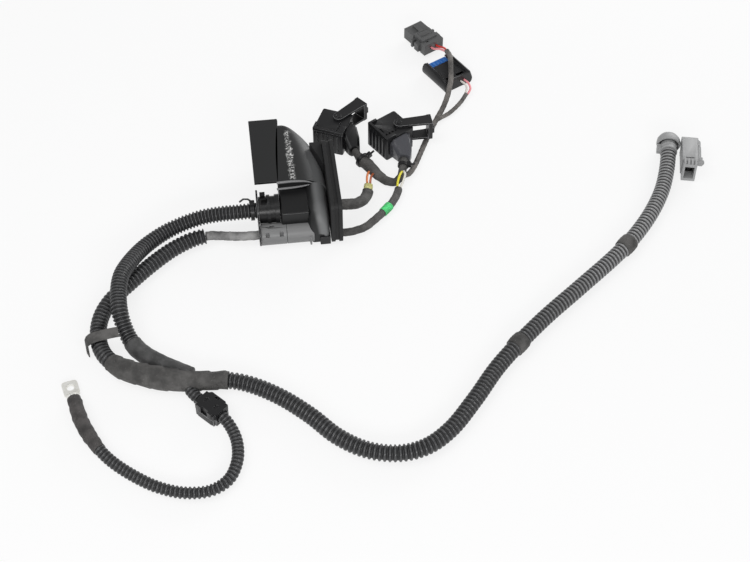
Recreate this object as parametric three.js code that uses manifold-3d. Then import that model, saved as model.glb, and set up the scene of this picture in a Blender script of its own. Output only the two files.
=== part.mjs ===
// A vehicle wiring harness lying on a flat surface: a bulkhead pass-through housing with
// corrugated conduits on one side and taped branches with connectors on the other.
// Millimetres, +Z up.  The origin is on the surface, under the middle of the housing.
// The housing's long side runs along Y and its bulkhead face looks towards +X.

import * as THREE from 'three';
import { mergeVertices } from 'three/addons/utils/BufferGeometryUtils.js';
import Module from 'manifold-3d';

const wasm = await Module();
wasm.setup();

// Driving dimensions
const CLEARANCE = 0.3;

const WIDE_CONDUIT_DIAMETER = 18.5;
const THIN_CONDUIT_DIAMETER = 13;
const ADAPTOR_CABLE_DIAMETER = 10.5;
const BRANCH_ONE_DIAMETER = 13;
const BRANCH_TWO_DIAMETER = 9.5;
const LINK_DIAMETER = 9.5;
const LINK_WIDE_DIAMETER = 15;
const TALL_BRANCH_DIAMETER = 6.8;
const SHORT_BRANCH_DIAMETER = 5.4;
const WIRE_DIAMETER = 2.8;

const HOUSING_HALF_WIDTH = 47.5;
const HOUSING_HALF_LENGTH = 82;
const SEAL_THICKNESS = 13;
const SEAL_HEIGHT = 62;
const SEAL_FAR_END = 33;
const SEAL_CORNER_RADIUS = 9;
const SEAL_GROOVE_WIDTH = 4.5;
const SEAL_GROOVE_DEPTH = 1.6;

const HOOD_ROOF = 52;
const HOOD_FLOOR = 4;
const HOOD_LEFT = -21;
const HOOD_NEAR = -20;
const HOOD_FAR = 76;
const HOOD_WALL = 2.5;
const HOOD_SHOULDER = 0.6;
const HOOD_LIP = 1.6;
const HOOD_LIP_WIDTH = 4;
const TAB_THICKNESS = 3;
const SOCKET_TOP = 42;
const SOCKET_NEAR = -68;
const DUCT_HALF_WIDTH = 12.5;
const DUCT_TOP = 46;
const DUCT_NEAR = -79;
const LUG_NEAR = 6;
const LUG_TOP = 55;
const LUG_WIDTH = 12.7;

const END_PLATE_THICKNESS = 2.2;
const FEED_CLAMP_RADIUS = 15.5;
const FEED_PORT_Y = -45;
const FEED_PORT_Z = 29;
const BRANCH_CLAMP_RADIUS = 12.5;
const PORT_SPACING = 23;
const BRANCH_PORT_Y = FEED_PORT_Y - PORT_SPACING;
const BRANCH_PORT_Z = 12.5;
const PORT_DEPTH = 8;
const PORT_CLEARANCE = 0.7;
const FEED_CLAMP_RIGHT = HOOD_LEFT - 0.6;
const BRANCH_CLAMP_RIGHT = -16;
const COUPLING_RIGHT = 15;

const BRANCH_ONE_Y = -42;
const BRANCH_ONE_Z = 24;
const BRANCH_TWO_Y = -71;
const BRANCH_TWO_Z = 8.5;
const CABLE_WAY_DEPTH = 7;

const TAPE_JOINT_WIDE = 25.5;
const TAPE_JOINT_NARROW = 20;
const TAPE_THICKNESS = 1;
const STRAP_WIDTH = 14;
const SLEEVE_DIAMETER = 20;
const COLLAR_DIAMETER = 20.6;
const COLLAR_LENGTH = 15;

const CLIP_LENGTH = 30;
const CLIP_WIDTH = 23;
const CLIP_HEIGHT = 18;
const CLIP_TOOTH = 3;
const RING_WIDTH = 17;
const RING_LENGTH = 29;
const RING_THICKNESS = 3;
const RING_HOLE_DIAMETER = 8.5;

const LEVER_BLOCK_LENGTH = 38;
const LEVER_BLOCK_WIDTH = 41;
const LEVER_BLOCK_HEIGHT = 30.6;
const LEVER_RAIL_TOP = 34;
const LEVER_SLOT_BOTTOM = 8;
const LEVER_SLOT_TOP = 12;
const LEVER_PIVOT_X = 4;
const LEVER_PIVOT_Y = 10;
const LEVER_REACH = 40;
const LEVER_ARM_WIDTH = 13;
const LEVER_ARM_THICKNESS = 2.8;
const LEVER_BAR_THICKNESS = 5;
const LEVER_PIN_RADIUS = 3;
const COVER_LENGTH = 26;
const COVER_EXIT_Z = 12;
const COVER_EXIT_RADIUS = 5.2;
const MATING_DEPTH = 16;
const INSERT_THICKNESS = 4;

// Helpers: solids, cuts, tubes and lofts

function solidOf(geometry) {
  const bare = geometry.clone();
  bare.deleteAttribute('normal');
  bare.deleteAttribute('uv');
  const merged = mergeVertices(bare, 1e-4);
  return new wasm.Manifold(new wasm.Mesh({
    numProp: 3,
    vertProperties: new Float32Array(merged.attributes.position.array),
    triVerts: new Uint32Array(merged.index.array),
  }));
}

function geometryOf(solid) {
  const mesh = solid.getMesh();
  const geometry = new THREE.BufferGeometry();
  geometry.setAttribute('position', new THREE.BufferAttribute(new Float32Array(mesh.vertProperties), 3));
  geometry.setIndex(new THREE.BufferAttribute(new Uint32Array(mesh.triVerts), 1));
  geometry.computeVertexNormals();
  return geometry;
}

function join(...geometries) {
  return geometryOf(geometries.map(solidOf).reduce((whole, next) => whole.add(next)));
}

function cut(geometry, ...tools) {
  return geometryOf(tools.map(solidOf).reduce((rest, tool) => rest.subtract(tool), solidOf(geometry)));
}

function keepInside(geometry, other) {
  return geometryOf(solidOf(geometry).intersect(solidOf(other)));
}

// A box between two corners.
function boxBetween(x0, x1, y0, y1, z0, z1) {
  const box = new THREE.BoxGeometry(x1 - x0, y1 - y0, z1 - z0);
  return box.translate((x0 + x1) / 2, (y0 + y1) / 2, (z0 + z1) / 2);
}

// A plate with rounded corners, drawn in X and Y and pulled from z0 to z1.
function roundedPlate(x0, x1, y0, y1, z0, z1, radius, arcSteps = 3) {
  const shape = new THREE.Shape();
  shape.moveTo(x0 + radius, y0);
  shape.lineTo(x1 - radius, y0);
  shape.absarc(x1 - radius, y0 + radius, radius, -Math.PI / 2, 0);
  shape.lineTo(x1, y1 - radius);
  shape.absarc(x1 - radius, y1 - radius, radius, 0, Math.PI / 2);
  shape.lineTo(x0 + radius, y1);
  shape.absarc(x0 + radius, y1 - radius, radius, Math.PI / 2, Math.PI);
  shape.lineTo(x0, y0 + radius);
  shape.absarc(x0 + radius, y0 + radius, radius, Math.PI, 1.5 * Math.PI);
  return pulled(shape, z0, z1, arcSteps);
}

function pulled(shape, z0, z1, curveSegments = 3) {
  const geometry = new THREE.ExtrudeGeometry(shape, {
    depth: z1 - z0,
    bevelEnabled: false,
    curveSegments,
  });
  return geometry.translate(0, 0, z0);
}

// A plate drawn in Y and Z and pulled along X from x0 to x1.
function sidePlate(shape, x0, x1, curveSegments = 3) {
  const turn = new THREE.Matrix4().makeBasis(
    new THREE.Vector3(0, 1, 0),
    new THREE.Vector3(0, 0, 1),
    new THREE.Vector3(1, 0, 0),
  );
  return pulled(shape, x0, x1, curveSegments).applyMatrix4(turn);
}

function roundedOutline(a0, a1, b0, b1, radius) {
  const shape = new THREE.Shape();
  shape.moveTo(a0 + radius, b0);
  shape.lineTo(a1 - radius, b0);
  shape.absarc(a1 - radius, b0 + radius, radius, -Math.PI / 2, 0);
  shape.lineTo(a1, b1 - radius);
  shape.absarc(a1 - radius, b1 - radius, radius, 0, Math.PI / 2);
  shape.lineTo(a0 + radius, b1);
  shape.absarc(a0 + radius, b1 - radius, radius, Math.PI / 2, Math.PI);
  shape.lineTo(a0, b0 + radius);
  shape.absarc(a0 + radius, b0 + radius, radius, Math.PI, 1.5 * Math.PI);
  return shape;
}

// A cylinder along X, Y or Z between two places on that axis.
function rod(axis, radius, from, to, a, b, sides = 16) {
  const cylinder = new THREE.CylinderGeometry(radius, radius, to - from, sides);
  const middle = (from + to) / 2;
  if (axis === 'x') {
    return cylinder.rotateZ(-Math.PI / 2).translate(middle, a, b);
  }
  if (axis === 'y') {
    return cylinder.translate(a, middle, b);
  }
  return cylinder.rotateX(Math.PI / 2).translate(a, b, middle);
}

// A closed solid through rings of equal point count, each ring seen counterclockwise
// from the side that the loft moves towards.
function loft(rings) {
  const count = rings[0].length;
  const positions = rings.flat().flatMap((point) => [point.x, point.y, point.z]);
  const faces = [];
  for (let ring = 0; ring < rings.length - 1; ring += 1) {
    for (let side = 0; side < count; side += 1) {
      const next = (side + 1) % count;
      const a = ring * count + side;
      const b = ring * count + next;
      faces.push(a, b, b + count, a, b + count, a + count);
    }
  }
  const capCentre = (ring) => ring
    .reduce((sum, point) => sum.add(point), new THREE.Vector3())
    .divideScalar(count);
  const first = rings.length * count;
  const startCentre = capCentre(rings[0]);
  const endCentre = capCentre(rings[rings.length - 1]);
  positions.push(startCentre.x, startCentre.y, startCentre.z, endCentre.x, endCentre.y, endCentre.z);
  const last = (rings.length - 1) * count;
  for (let side = 0; side < count; side += 1) {
    const next = (side + 1) % count;
    faces.push(first, next, side);
    faces.push(first + 1, last + side, last + next);
  }
  const geometry = new THREE.BufferGeometry();
  geometry.setAttribute('position', new THREE.Float32BufferAttribute(positions, 3));
  geometry.setIndex(faces);
  return geometry;
}

// A smooth curve through hand-chosen points.
function routeThrough(points) {
  return new THREE.CatmullRomCurve3(points.map((point) => new THREE.Vector3(...point)), false, 'centripetal');
}

// Part of a curve, between two lengths along it.
class Stretch extends THREE.Curve {
  constructor(curve, from, to) {
    super();
    this.curve = curve;
    this.from = from / curve.getLength();
    this.to = to / curve.getLength();
  }

  getPoint(share, target = new THREE.Vector3()) {
    return this.curve.getPointAt(Math.min(1, this.from + (this.to - this.from) * share), target);
  }
}

// A tube along a curve, with a step every couple of diameters.
function tube(curve, diameter, sides = 10, stepInDiameters = 2) {
  const section = new THREE.Shape();
  section.absarc(0, 0, diameter / 2, 0, 2 * Math.PI);
  return new THREE.ExtrudeGeometry(section, {
    steps: Math.max(2, Math.round(curve.getLength() / (stepInDiameters * diameter))),
    curveSegments: sides,
    extrudePath: curve,
  });
}

// A tube whose radius follows a list of values along the curve.
function taperedTube(curve, radii, sides = 12) {
  const steps = radii.length - 1;
  const frames = curve.computeFrenetFrames(steps, false);
  const rings = radii.map((radius, step) => {
    const centre = curve.getPointAt(step / steps);
    return Array.from({ length: sides }, (_, side) => {
      const angle = (2 * Math.PI * side) / sides;
      return centre.clone()
        .addScaledVector(frames.normals[step], radius * Math.cos(angle))
        .addScaledVector(frames.binormals[step], radius * Math.sin(angle));
    });
  });
  return loft(rings);
}

function part(name, geometry, colour, roughness = 0.6, metalness = 0) {
  const material = new THREE.MeshStandardMaterial({ color: colour, roughness, metalness });
  const mesh = new THREE.Mesh(geometry, material);
  mesh.name = name;
  return mesh;
}

const BLACK_PLASTIC = 0x2b2b2c;
const GREY_PLASTIC = 0x5c5e60;
const CONDUIT_BLACK = 0x2f3032;
const CLOTH_TAPE = 0x4a4847;
const RUBBER_BLACK = 0x232324;

const harness = new THREE.Group();

// Bulkhead housing

// The hood's plan follows a quarter ellipse. Each cross-section is flat on top, rolls over on its
// right side to a shoulder and drops straight to the floor.
function hoodSection(y, inset) {
  const reach = (y - HOOD_NEAR) / (HOOD_FAR - HOOD_NEAR);
  const share = (1 - (0.985 * Math.max(0, reach)) ** 2.25) ** (1 / 2.25);
  const roundedEnd = Math.min(1, (HOOD_FAR - y) / 10);
  const endDrop = 6 * (1 - roundedEnd) ** 2;
  const left = HOOD_LEFT + inset;
  const sealFace = HOUSING_HALF_WIDTH - SEAL_THICKNESS - CLEARANCE;
  const right = Math.min(sealFace, HOOD_LEFT + (sealFace - HOOD_LEFT) * share - inset);
  const crest = left + 0.35 * (right - left);
  const top = HOOD_ROOF - endDrop - inset;
  const bottom = HOOD_FLOOR + endDrop + inset;
  const shoulder = bottom + HOOD_SHOULDER * (top - bottom);
  const points = [new THREE.Vector3(left, y, bottom)];
  points.push(new THREE.Vector3(left, y, top));
  const arcSteps = 9;
  for (let step = 0; step <= arcSteps; step += 1) {
    const angle = Math.PI / 2 - (Math.PI * step) / (2 * arcSteps);
    points.push(new THREE.Vector3(
      crest + (right - crest) * Math.cos(angle),
      y,
      shoulder + (top - shoulder) * Math.sin(angle),
    ));
  }
  points.push(new THREE.Vector3(right, y, bottom));
  return points;
}

function hoodLoft(inset, nearEnd, farEnd) {
  const rings = [];
  if (inset === 0) {
    rings.push(hoodSection(nearEnd - HOOD_LIP_WIDTH, -HOOD_LIP), hoodSection(nearEnd, -HOOD_LIP));
    rings.push(hoodSection(nearEnd + 0.2, 0));
  } else {
    rings.push(hoodSection(nearEnd, inset));
  }
  const steps = 8;
  for (let step = 1; step <= steps; step += 1) {
    const y = nearEnd + (farEnd - nearEnd) * Math.sin((Math.PI / 2) * (step / steps));
    rings.push(hoodSection(y, inset));
  }
  return loft(rings);
}

// The side duct carries the hood's shoulder on along the seal to a rounded nose.
function ductLoft(inset) {
  const sealFace = HOUSING_HALF_WIDTH - SEAL_THICKNESS - CLEARANCE;
  const length = HOOD_NEAR + 4 - DUCT_NEAR;
  const stations = [0, 0.03, 0.09, 0.18, 0.3, 0.42, 0.999];
  const rings = stations.map((station) => {
    const share = Math.sqrt(1 - (1 - Math.min(1, station * 2.4)) ** 2);
    const y = DUCT_NEAR + inset + (length - inset) * station;
    const narrowing = 0.55 * DUCT_HALF_WIDTH * (1 - share);
    const left = sealFace - 2 * DUCT_HALF_WIDTH + narrowing + inset;
    const right = sealFace - 0.4 - 0.4 * narrowing - inset;
    const floor = HOOD_FLOOR + inset;
    const top = floor + (DUCT_TOP - HOOD_FLOOR - 2 * inset) * (0.3 + 0.7 * share);
    const crest = left + 0.42 * (right - left);
    const shoulder = floor + HOOD_SHOULDER * (top - floor);
    const points = [new THREE.Vector3(left, y, floor)];
    const arcSteps = 12;
    for (let step = 0; step <= arcSteps; step += 1) {
      const angle = Math.PI - (Math.PI * step) / arcSteps;
      const reach = Math.cos(angle) < 0 ? crest - left : right - crest;
      points.push(new THREE.Vector3(
        crest + reach * Math.cos(angle),
        y,
        shoulder + (top - shoulder) * Math.sin(angle),
      ));
    }
    points.push(new THREE.Vector3(right, y, floor));
    return points;
  });
  return loft(rings);
}

function bulkheadHood() {
  const sealFace = HOUSING_HALF_WIDTH - SEAL_THICKNESS - CLEARANCE;
  const tab = boxBetween(
    -HOUSING_HALF_WIDTH, HOOD_LEFT + 1, HOOD_NEAR, HOUSING_HALF_LENGTH, HOOD_ROOF - TAB_THICKNESS, HOOD_ROOF,
  );
  const socket = roundedPlate(HOOD_LEFT, 20, SOCKET_NEAR, HOOD_NEAR + 1, HOOD_FLOOR, SOCKET_TOP, 4);
  const lug = roundedPlate(sealFace - LUG_WIDTH, sealFace, LUG_NEAR, SEAL_FAR_END - 1, HOOD_FLOOR, LUG_TOP, 3);
  const foot = boxBetween(sealFace - LUG_WIDTH, sealFace - 1, -HOUSING_HALF_LENGTH + 1, DUCT_NEAR + 12, 1, 13);
  const lowerLip = boxBetween(HOOD_LEFT, 8, HOOD_NEAR - 8, HOOD_NEAR - 6.4, SOCKET_TOP - 1, SOCKET_TOP + 1.2);
  const outside = join(hoodLoft(0, HOOD_NEAR, HOOD_FAR), tab, socket, lug, foot, lowerLip, ductLoft(0));
  const passage = boxBetween(8, sealFace + 5, SOCKET_NEAR + 14, -4, 12, 26);
  return cut(
    outside,
    hoodLoft(HOOD_WALL, HOOD_NEAR + 2, HOOD_FAR - HOOD_WALL),
    ductLoft(HOOD_WALL),
    passage,
    boxBetween(
      HOOD_LEFT + HOOD_WALL, 11, HOOD_NEAR - HOOD_LIP_WIDTH - 1, HOOD_NEAR + 3, SOCKET_TOP, HOOD_ROOF - HOOD_WALL,
    ),
    rod('x', BRANCH_CLAMP_RADIUS + CLEARANCE, -40, COUPLING_RIGHT + CLEARANCE, BRANCH_PORT_Y, BRANCH_PORT_Z, 20),
  );
}

harness.add(part('bulkhead_hood', bulkheadHood(), BLACK_PLASTIC, 0.45));

function flangeSeal() {
  const left = HOUSING_HALF_WIDTH - SEAL_THICKNESS;
  const right = HOUSING_HALF_WIDTH;
  const grooveStart = left + (SEAL_THICKNESS - SEAL_GROOVE_WIDTH) / 2;
  const ring = (inset, x0, x1) => sidePlate(
    roundedOutline(
      -HOUSING_HALF_LENGTH + inset, SEAL_FAR_END - inset, inset, SEAL_HEIGHT - inset, SEAL_CORNER_RADIUS - inset,
    ),
    x0,
    x1,
  );
  const block = join(
    ring(0, left, grooveStart),
    ring(SEAL_GROOVE_DEPTH, grooveStart, grooveStart + SEAL_GROOVE_WIDTH),
    ring(0, grooveStart + SEAL_GROOVE_WIDTH, right),
  );
  const way = (diameter, y, z) => rod(
    'x', diameter / 2 + PORT_CLEARANCE, right - CABLE_WAY_DEPTH - CLEARANCE, right + 1, y, z, 20,
  );
  return cut(
    block,
    way(BRANCH_ONE_DIAMETER, BRANCH_ONE_Y, BRANCH_ONE_Z),
    way(BRANCH_TWO_DIAMETER, BRANCH_TWO_Y, BRANCH_TWO_Z),
  );
}

harness.add(part('flange_seal', flangeSeal(), RUBBER_BLACK, 0.7));

// Two-port conduit adaptor

function portBore(diameter, y, z, depth) {
  const left = -HOUSING_HALF_WIDTH - 1;
  return rod('x', diameter / 2 + PORT_CLEARANCE, left, -HOUSING_HALF_WIDTH + depth, y, z, 20);
}

function endPlate() {
  const margin = 2.5;
  const outline = join(
    rod('x', FEED_CLAMP_RADIUS + margin, 0, END_PLATE_THICKNESS, FEED_PORT_Y, FEED_PORT_Z, 20),
    rod('x', BRANCH_CLAMP_RADIUS + 1.5, 0, END_PLATE_THICKNESS, BRANCH_PORT_Y, BRANCH_PORT_Z + 1.5, 20),
    boxBetween(0, END_PLATE_THICKNESS, BRANCH_PORT_Y, FEED_PORT_Y, BRANCH_PORT_Z, FEED_PORT_Z),
    boxBetween(0, END_PLATE_THICKNESS, FEED_PORT_Y + 7, FEED_PORT_Y + 12, FEED_PORT_Z + 8, FEED_PORT_Z + 21),
  ).translate(-HOUSING_HALF_WIDTH, 0, 0);
  return cut(
    outline,
    portBore(WIDE_CONDUIT_DIAMETER, FEED_PORT_Y, FEED_PORT_Z, PORT_DEPTH),
    portBore(ADAPTOR_CABLE_DIAMETER, BRANCH_PORT_Y, BRANCH_PORT_Z, PORT_DEPTH),
    boxBetween(-60, 0, -100, 0, -5, 0),
  );
}

function feedClamp() {
  const left = -HOUSING_HALF_WIDTH + END_PLATE_THICKNESS + CLEARANCE;
  const right = FEED_CLAMP_RIGHT;
  const top = FEED_PORT_Z + FEED_CLAMP_RADIUS;
  const body = join(
    rod('x', FEED_CLAMP_RADIUS, left, right, FEED_PORT_Y, FEED_PORT_Z, 24),
    rod('x', FEED_CLAMP_RADIUS + 1.6, left + 9, left + 13, FEED_PORT_Y, FEED_PORT_Z, 24),
    rod('x', FEED_CLAMP_RADIUS + 1.6, right - 5, right, FEED_PORT_Y, FEED_PORT_Z, 24),
    boxBetween(left + 2, left + 8, FEED_PORT_Y + 6, FEED_PORT_Y + 12, top - 8, top + 1.5),
  );
  return cut(
    body,
    portBore(WIDE_CONDUIT_DIAMETER, FEED_PORT_Y, FEED_PORT_Z, PORT_DEPTH),
    boxBetween(left + 3, left + 10, FEED_PORT_Y - 6, FEED_PORT_Y + 1, top - 3, top + 5),
    rod('x', BRANCH_CLAMP_RADIUS + CLEARANCE, left - 5, right + 5, BRANCH_PORT_Y, BRANCH_PORT_Z, 24),
    boxBetween(-60, 0, -100, 0, -5, 1),
  );
}

function branchClamp() {
  const left = -HOUSING_HALF_WIDTH + END_PLATE_THICKNESS + CLEARANCE;
  const right = BRANCH_CLAMP_RIGHT;
  const top = BRANCH_PORT_Z + BRANCH_CLAMP_RADIUS;
  const window = (x, y, z, size) => boxBetween(x, x + size, y, y + size, z, z + 12);
  return cut(
    rod('x', BRANCH_CLAMP_RADIUS, left, right, BRANCH_PORT_Y, BRANCH_PORT_Z, 24),
    portBore(ADAPTOR_CABLE_DIAMETER, BRANCH_PORT_Y, BRANCH_PORT_Z, PORT_DEPTH),
    window(left + 10, BRANCH_PORT_Y - 3, top - 3, 5),
    window(left + 5, BRANCH_PORT_Y - 11, top - 8, 4),
    window(left + 21, BRANCH_PORT_Y - 11, top - 8, 4),
  );
}

function coupling() {
  const body = join(
    rod('x', BRANCH_CLAMP_RADIUS, BRANCH_CLAMP_RIGHT + CLEARANCE, COUPLING_RIGHT, BRANCH_PORT_Y, BRANCH_PORT_Z, 24),
    boxBetween(10, 12, BRANCH_PORT_Y - 13.5, BRANCH_PORT_Y - 3, 3, BRANCH_PORT_Z + 4),
  );
  const core = rod('x', BRANCH_CLAMP_RADIUS - 3, BRANCH_CLAMP_RIGHT - 1, COUPLING_RIGHT - 4, BRANCH_PORT_Y, BRANCH_PORT_Z, 16);
  return cut(body, core);
}

// A tie round the feed conduit, with its head and a loose tail.
function cableTie() {
  const centreX = -HOUSING_HALF_WIDTH - 5;
  const inner = WIDE_CONDUIT_DIAMETER / 2 + PORT_CLEARANCE;
  const band = cut(
    rod('x', inner + 1.2, centreX - 2.2, centreX + 2.2, FEED_PORT_Y, FEED_PORT_Z, 20),
    rod('x', inner, centreX - 3, centreX + 3, FEED_PORT_Y, FEED_PORT_Z, 20),
  );
  const head = boxBetween(
    centreX - 3, centreX + 3, FEED_PORT_Y - 3, FEED_PORT_Y + 3, FEED_PORT_Z + inner + 0.6, FEED_PORT_Z + inner + 4.5,
  );
  const tail = tube(routeThrough([
    [centreX, FEED_PORT_Y + 2, FEED_PORT_Z + inner + 3],
    [centreX - 7, FEED_PORT_Y + 7, FEED_PORT_Z + inner + 4],
    [centreX - 14, FEED_PORT_Y + 5, FEED_PORT_Z + inner + 1],
  ]), 2.2, 8, 3);
  return join(band, head, tail);
}

harness.add(part('adaptor_end_plate', endPlate(), BLACK_PLASTIC, 0.5));
harness.add(part('adaptor_feed_clamp', feedClamp(), BLACK_PLASTIC, 0.5));
harness.add(part('adaptor_branch_clamp', branchClamp(), GREY_PLASTIC, 0.5));
harness.add(part('adaptor_coupling', coupling(), GREY_PLASTIC, 0.5));
harness.add(part('adaptor_cable_tie', cableTie(), BLACK_PLASTIC, 0.5));

// Conduits between the adaptor and the tape joint

const PORT_ENTRY = -HOUSING_HALF_WIDTH + PORT_DEPTH - 1;

const feedRoute = routeThrough([
  [PORT_ENTRY, FEED_PORT_Y, FEED_PORT_Z],
  [-60, FEED_PORT_Y, FEED_PORT_Z],
  [-72, FEED_PORT_Y, FEED_PORT_Z - 0.3],
  [-88, -44, 27.5],
  [-113, -45, 25],
  [-148, -55, 20],
  [-177, -77, 19],
  [-199, -117, 27.8],
  [-204, -134, 29.6],
  [-206, -154, 28.6],
  [-205, -177, 26],
  [-201, -194, 18],
  [-196, -206, 12.5],
  [-189, -218, 10.3],
  [-176, -232, 10.3],
  [-157, -247, 10.3],
  [-134, -262, 11],
]);

// The return conduit, the tape joint and the long conduit lie on one line.
const trunkRoute = routeThrough([
  [-109, -60, 10],
  [-122, -62.5, 9.4],
  [-145, -75, 9.4],
  [-167, -93, 9.4],
  [-195, -121, 9.4],
  [-217, -146, 9.4],
  [-228, -171, 9.4],
  [-230, -200, 9.4],
  [-223, -224, 10.5],
  [-205, -245, 12.5],
  [-175, -260, 13],
  [-145, -268, 12],
  [-112, -271, 10],
  [-95, -272, 9.4],
  [-73, -280, 9.4],
  [-43, -300, 9.4],
  [-14, -328, 9.4],
  [12, -359, 9.4],
  [40, -379, 9.4],
  [72, -387, 9.4],
  [100, -382, 9.4],
  [127, -364, 9.4],
  [158, -329, 9.4],
  [192, -286, 9.4],
  [246, -233, 9.4],
  [300, -188, 9.4],
  [349, -147, 9.4],
  [375, -122, 9.4],
  [404, -87, 9.4],
  [427, -50, 9.4],
  [441, -17, 10.5],
  [449, 8, 12],
]);

const RETURN_END = 237;
const TAPE_END = 364;
const NEAR_COLLAR = 773;
const FAR_COLLAR = 969;

const adaptorCableRoute = routeThrough([
  [PORT_ENTRY, BRANCH_PORT_Y, BRANCH_PORT_Z],
  [-58, BRANCH_PORT_Y, BRANCH_PORT_Z],
  [-72, -66, 11.5],
  [-88, -61, 9],
  [-100, -59, 9],
  [-107.6, -59.8, 10],
]);

const FEED_END = 293;
const trunkLength = trunkRoute.getLength();
const tapeRoute = new Stretch(trunkRoute, RETURN_END, TAPE_END);
const wide = TAPE_JOINT_WIDE / 2;
const narrow = TAPE_JOINT_NARROW / 2;
const tapeRadii = [narrow, wide - 1, wide - 0.4, wide, wide - 0.6, narrow + 1, narrow, narrow];
const tapeReach = taperedTube(tapeRoute, tapeRadii.map((radius) => radius + CLEARANCE));

harness.add(part(
  'feed_conduit',
  tube(new Stretch(feedRoute, 0, FEED_END), WIDE_CONDUIT_DIAMETER, 10, 1.2),
  CONDUIT_BLACK,
  0.4,
));
harness.add(part(
  'return_conduit',
  tube(new Stretch(trunkRoute, 0, RETURN_END - CLEARANCE), WIDE_CONDUIT_DIAMETER, 10, 1.2),
  CONDUIT_BLACK,
  0.4,
));
harness.add(part('adaptor_taped_cable', tube(adaptorCableRoute, ADAPTOR_CABLE_DIAMETER), CLOTH_TAPE, 0.8));
harness.add(part('tape_joint', taperedTube(tapeRoute, tapeRadii), CLOTH_TAPE, 0.85));
harness.add(part('split_sleeve', cut(
  tube(new Stretch(feedRoute, FEED_END + CLEARANCE, feedRoute.getLength()), SLEEVE_DIAMETER, 12, 1.2),
  tapeReach,
), CLOTH_TAPE, 0.6));
harness.add(part(
  'long_conduit',
  tube(new Stretch(trunkRoute, TAPE_END + CLEARANCE, trunkLength), WIDE_CONDUIT_DIAMETER, 10, 1.4),
  CONDUIT_BLACK,
  0.4,
));

// The loose end of the tape stands off the joint in an open loop and reaches over to the sleeve.
function tapeStrap() {
  const outline = new THREE.Shape();
  outline.moveTo(-13, 1);
  outline.bezierCurveTo(-17, 14, -14, 22.5, -4, 23.4);
  outline.bezierCurveTo(5, 24.3, 13, 24.8, 21, 24.4);
  outline.lineTo(21, 24.4 + TAPE_THICKNESS);
  outline.bezierCurveTo(13, 25.9, 5, 25.4, -4, 24.6);
  outline.bezierCurveTo(-15.4, 23.4, -18.4, 14, -14.2, 1);
  outline.closePath();
  const band = pulled(outline, -STRAP_WIDTH / 2, STRAP_WIDTH / 2, 5);
  band.rotateX(Math.PI / 2);
  return band;
}

const strap = part('tape_strap', tapeStrap(), CLOTH_TAPE, 0.85);
strap.position.set(-228, -207, 0);
strap.rotation.z = THREE.MathUtils.degToRad(8);
harness.add(strap);

function tapeCollar(centre) {
  const around = new Stretch(trunkRoute, centre - COLLAR_LENGTH / 2, centre + COLLAR_LENGTH / 2);
  const bore = new Stretch(trunkRoute, centre - COLLAR_LENGTH, centre + COLLAR_LENGTH);
  return cut(
    taperedTube(around, [COLLAR_DIAMETER / 2, COLLAR_DIAMETER / 2 + 0.5, COLLAR_DIAMETER / 2], 14),
    taperedTube(bore, [0, 0, 0, 0, 0].map(() => WIDE_CONDUIT_DIAMETER / 2 + PORT_CLEARANCE), 14),
  );
}

harness.add(part('tape_collar_near', tapeCollar(NEAR_COLLAR), CLOTH_TAPE, 0.85));
harness.add(part('tape_collar_far', tapeCollar(FAR_COLLAR), CLOTH_TAPE, 0.85));

// Thin conduit to the ring terminal

const terminalRoute = routeThrough([
  [-138, -262, 10],
  [-136, -277, 8.5],
  [-130, -288.5, 9.2],
  [-124, -296, 9.2],
  [-114, -307, 9.2],
  [-104, -318, 9.2],
  [-96, -332, 7.5],
  [-91, -350, 6.6],
  [-92, -374, 6.6],
  [-102, -396, 6.6],
  [-120, -407, 6.6],
  [-145, -407, 6.6],
  [-172, -397, 6.6],
  [-200, -377, 6.6],
  [-223, -354, 7.2],
  [-238, -330, 8.2],
  [-249, -304, 8.2],
  [-256, -276, 8.2],
]);

const TERMINAL_SLEEVE_START = 306;
const terminalLength = terminalRoute.getLength();

harness.add(part('terminal_conduit', cut(
  tube(new Stretch(terminalRoute, 0, TERMINAL_SLEEVE_START), THIN_CONDUIT_DIAMETER, 10, 1.3),
  tapeReach,
), CONDUIT_BLACK, 0.4));
harness.add(part('terminal_sleeve', taperedTube(
  new Stretch(terminalRoute, TERMINAL_SLEEVE_START + CLEARANCE, terminalLength),
  [6.8, 7.6, 8, 8, 7.8, 7.6],
), CLOTH_TAPE, 0.7));

// The conduit clip: a lower and an upper half that hinge on one long side and latch on the other.
const clipPlace = new THREE.Group();
clipPlace.position.set(-114, -307, 0);
clipPlace.rotation.z = THREE.MathUtils.degToRad(-48);
harness.add(clipPlace);

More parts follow.
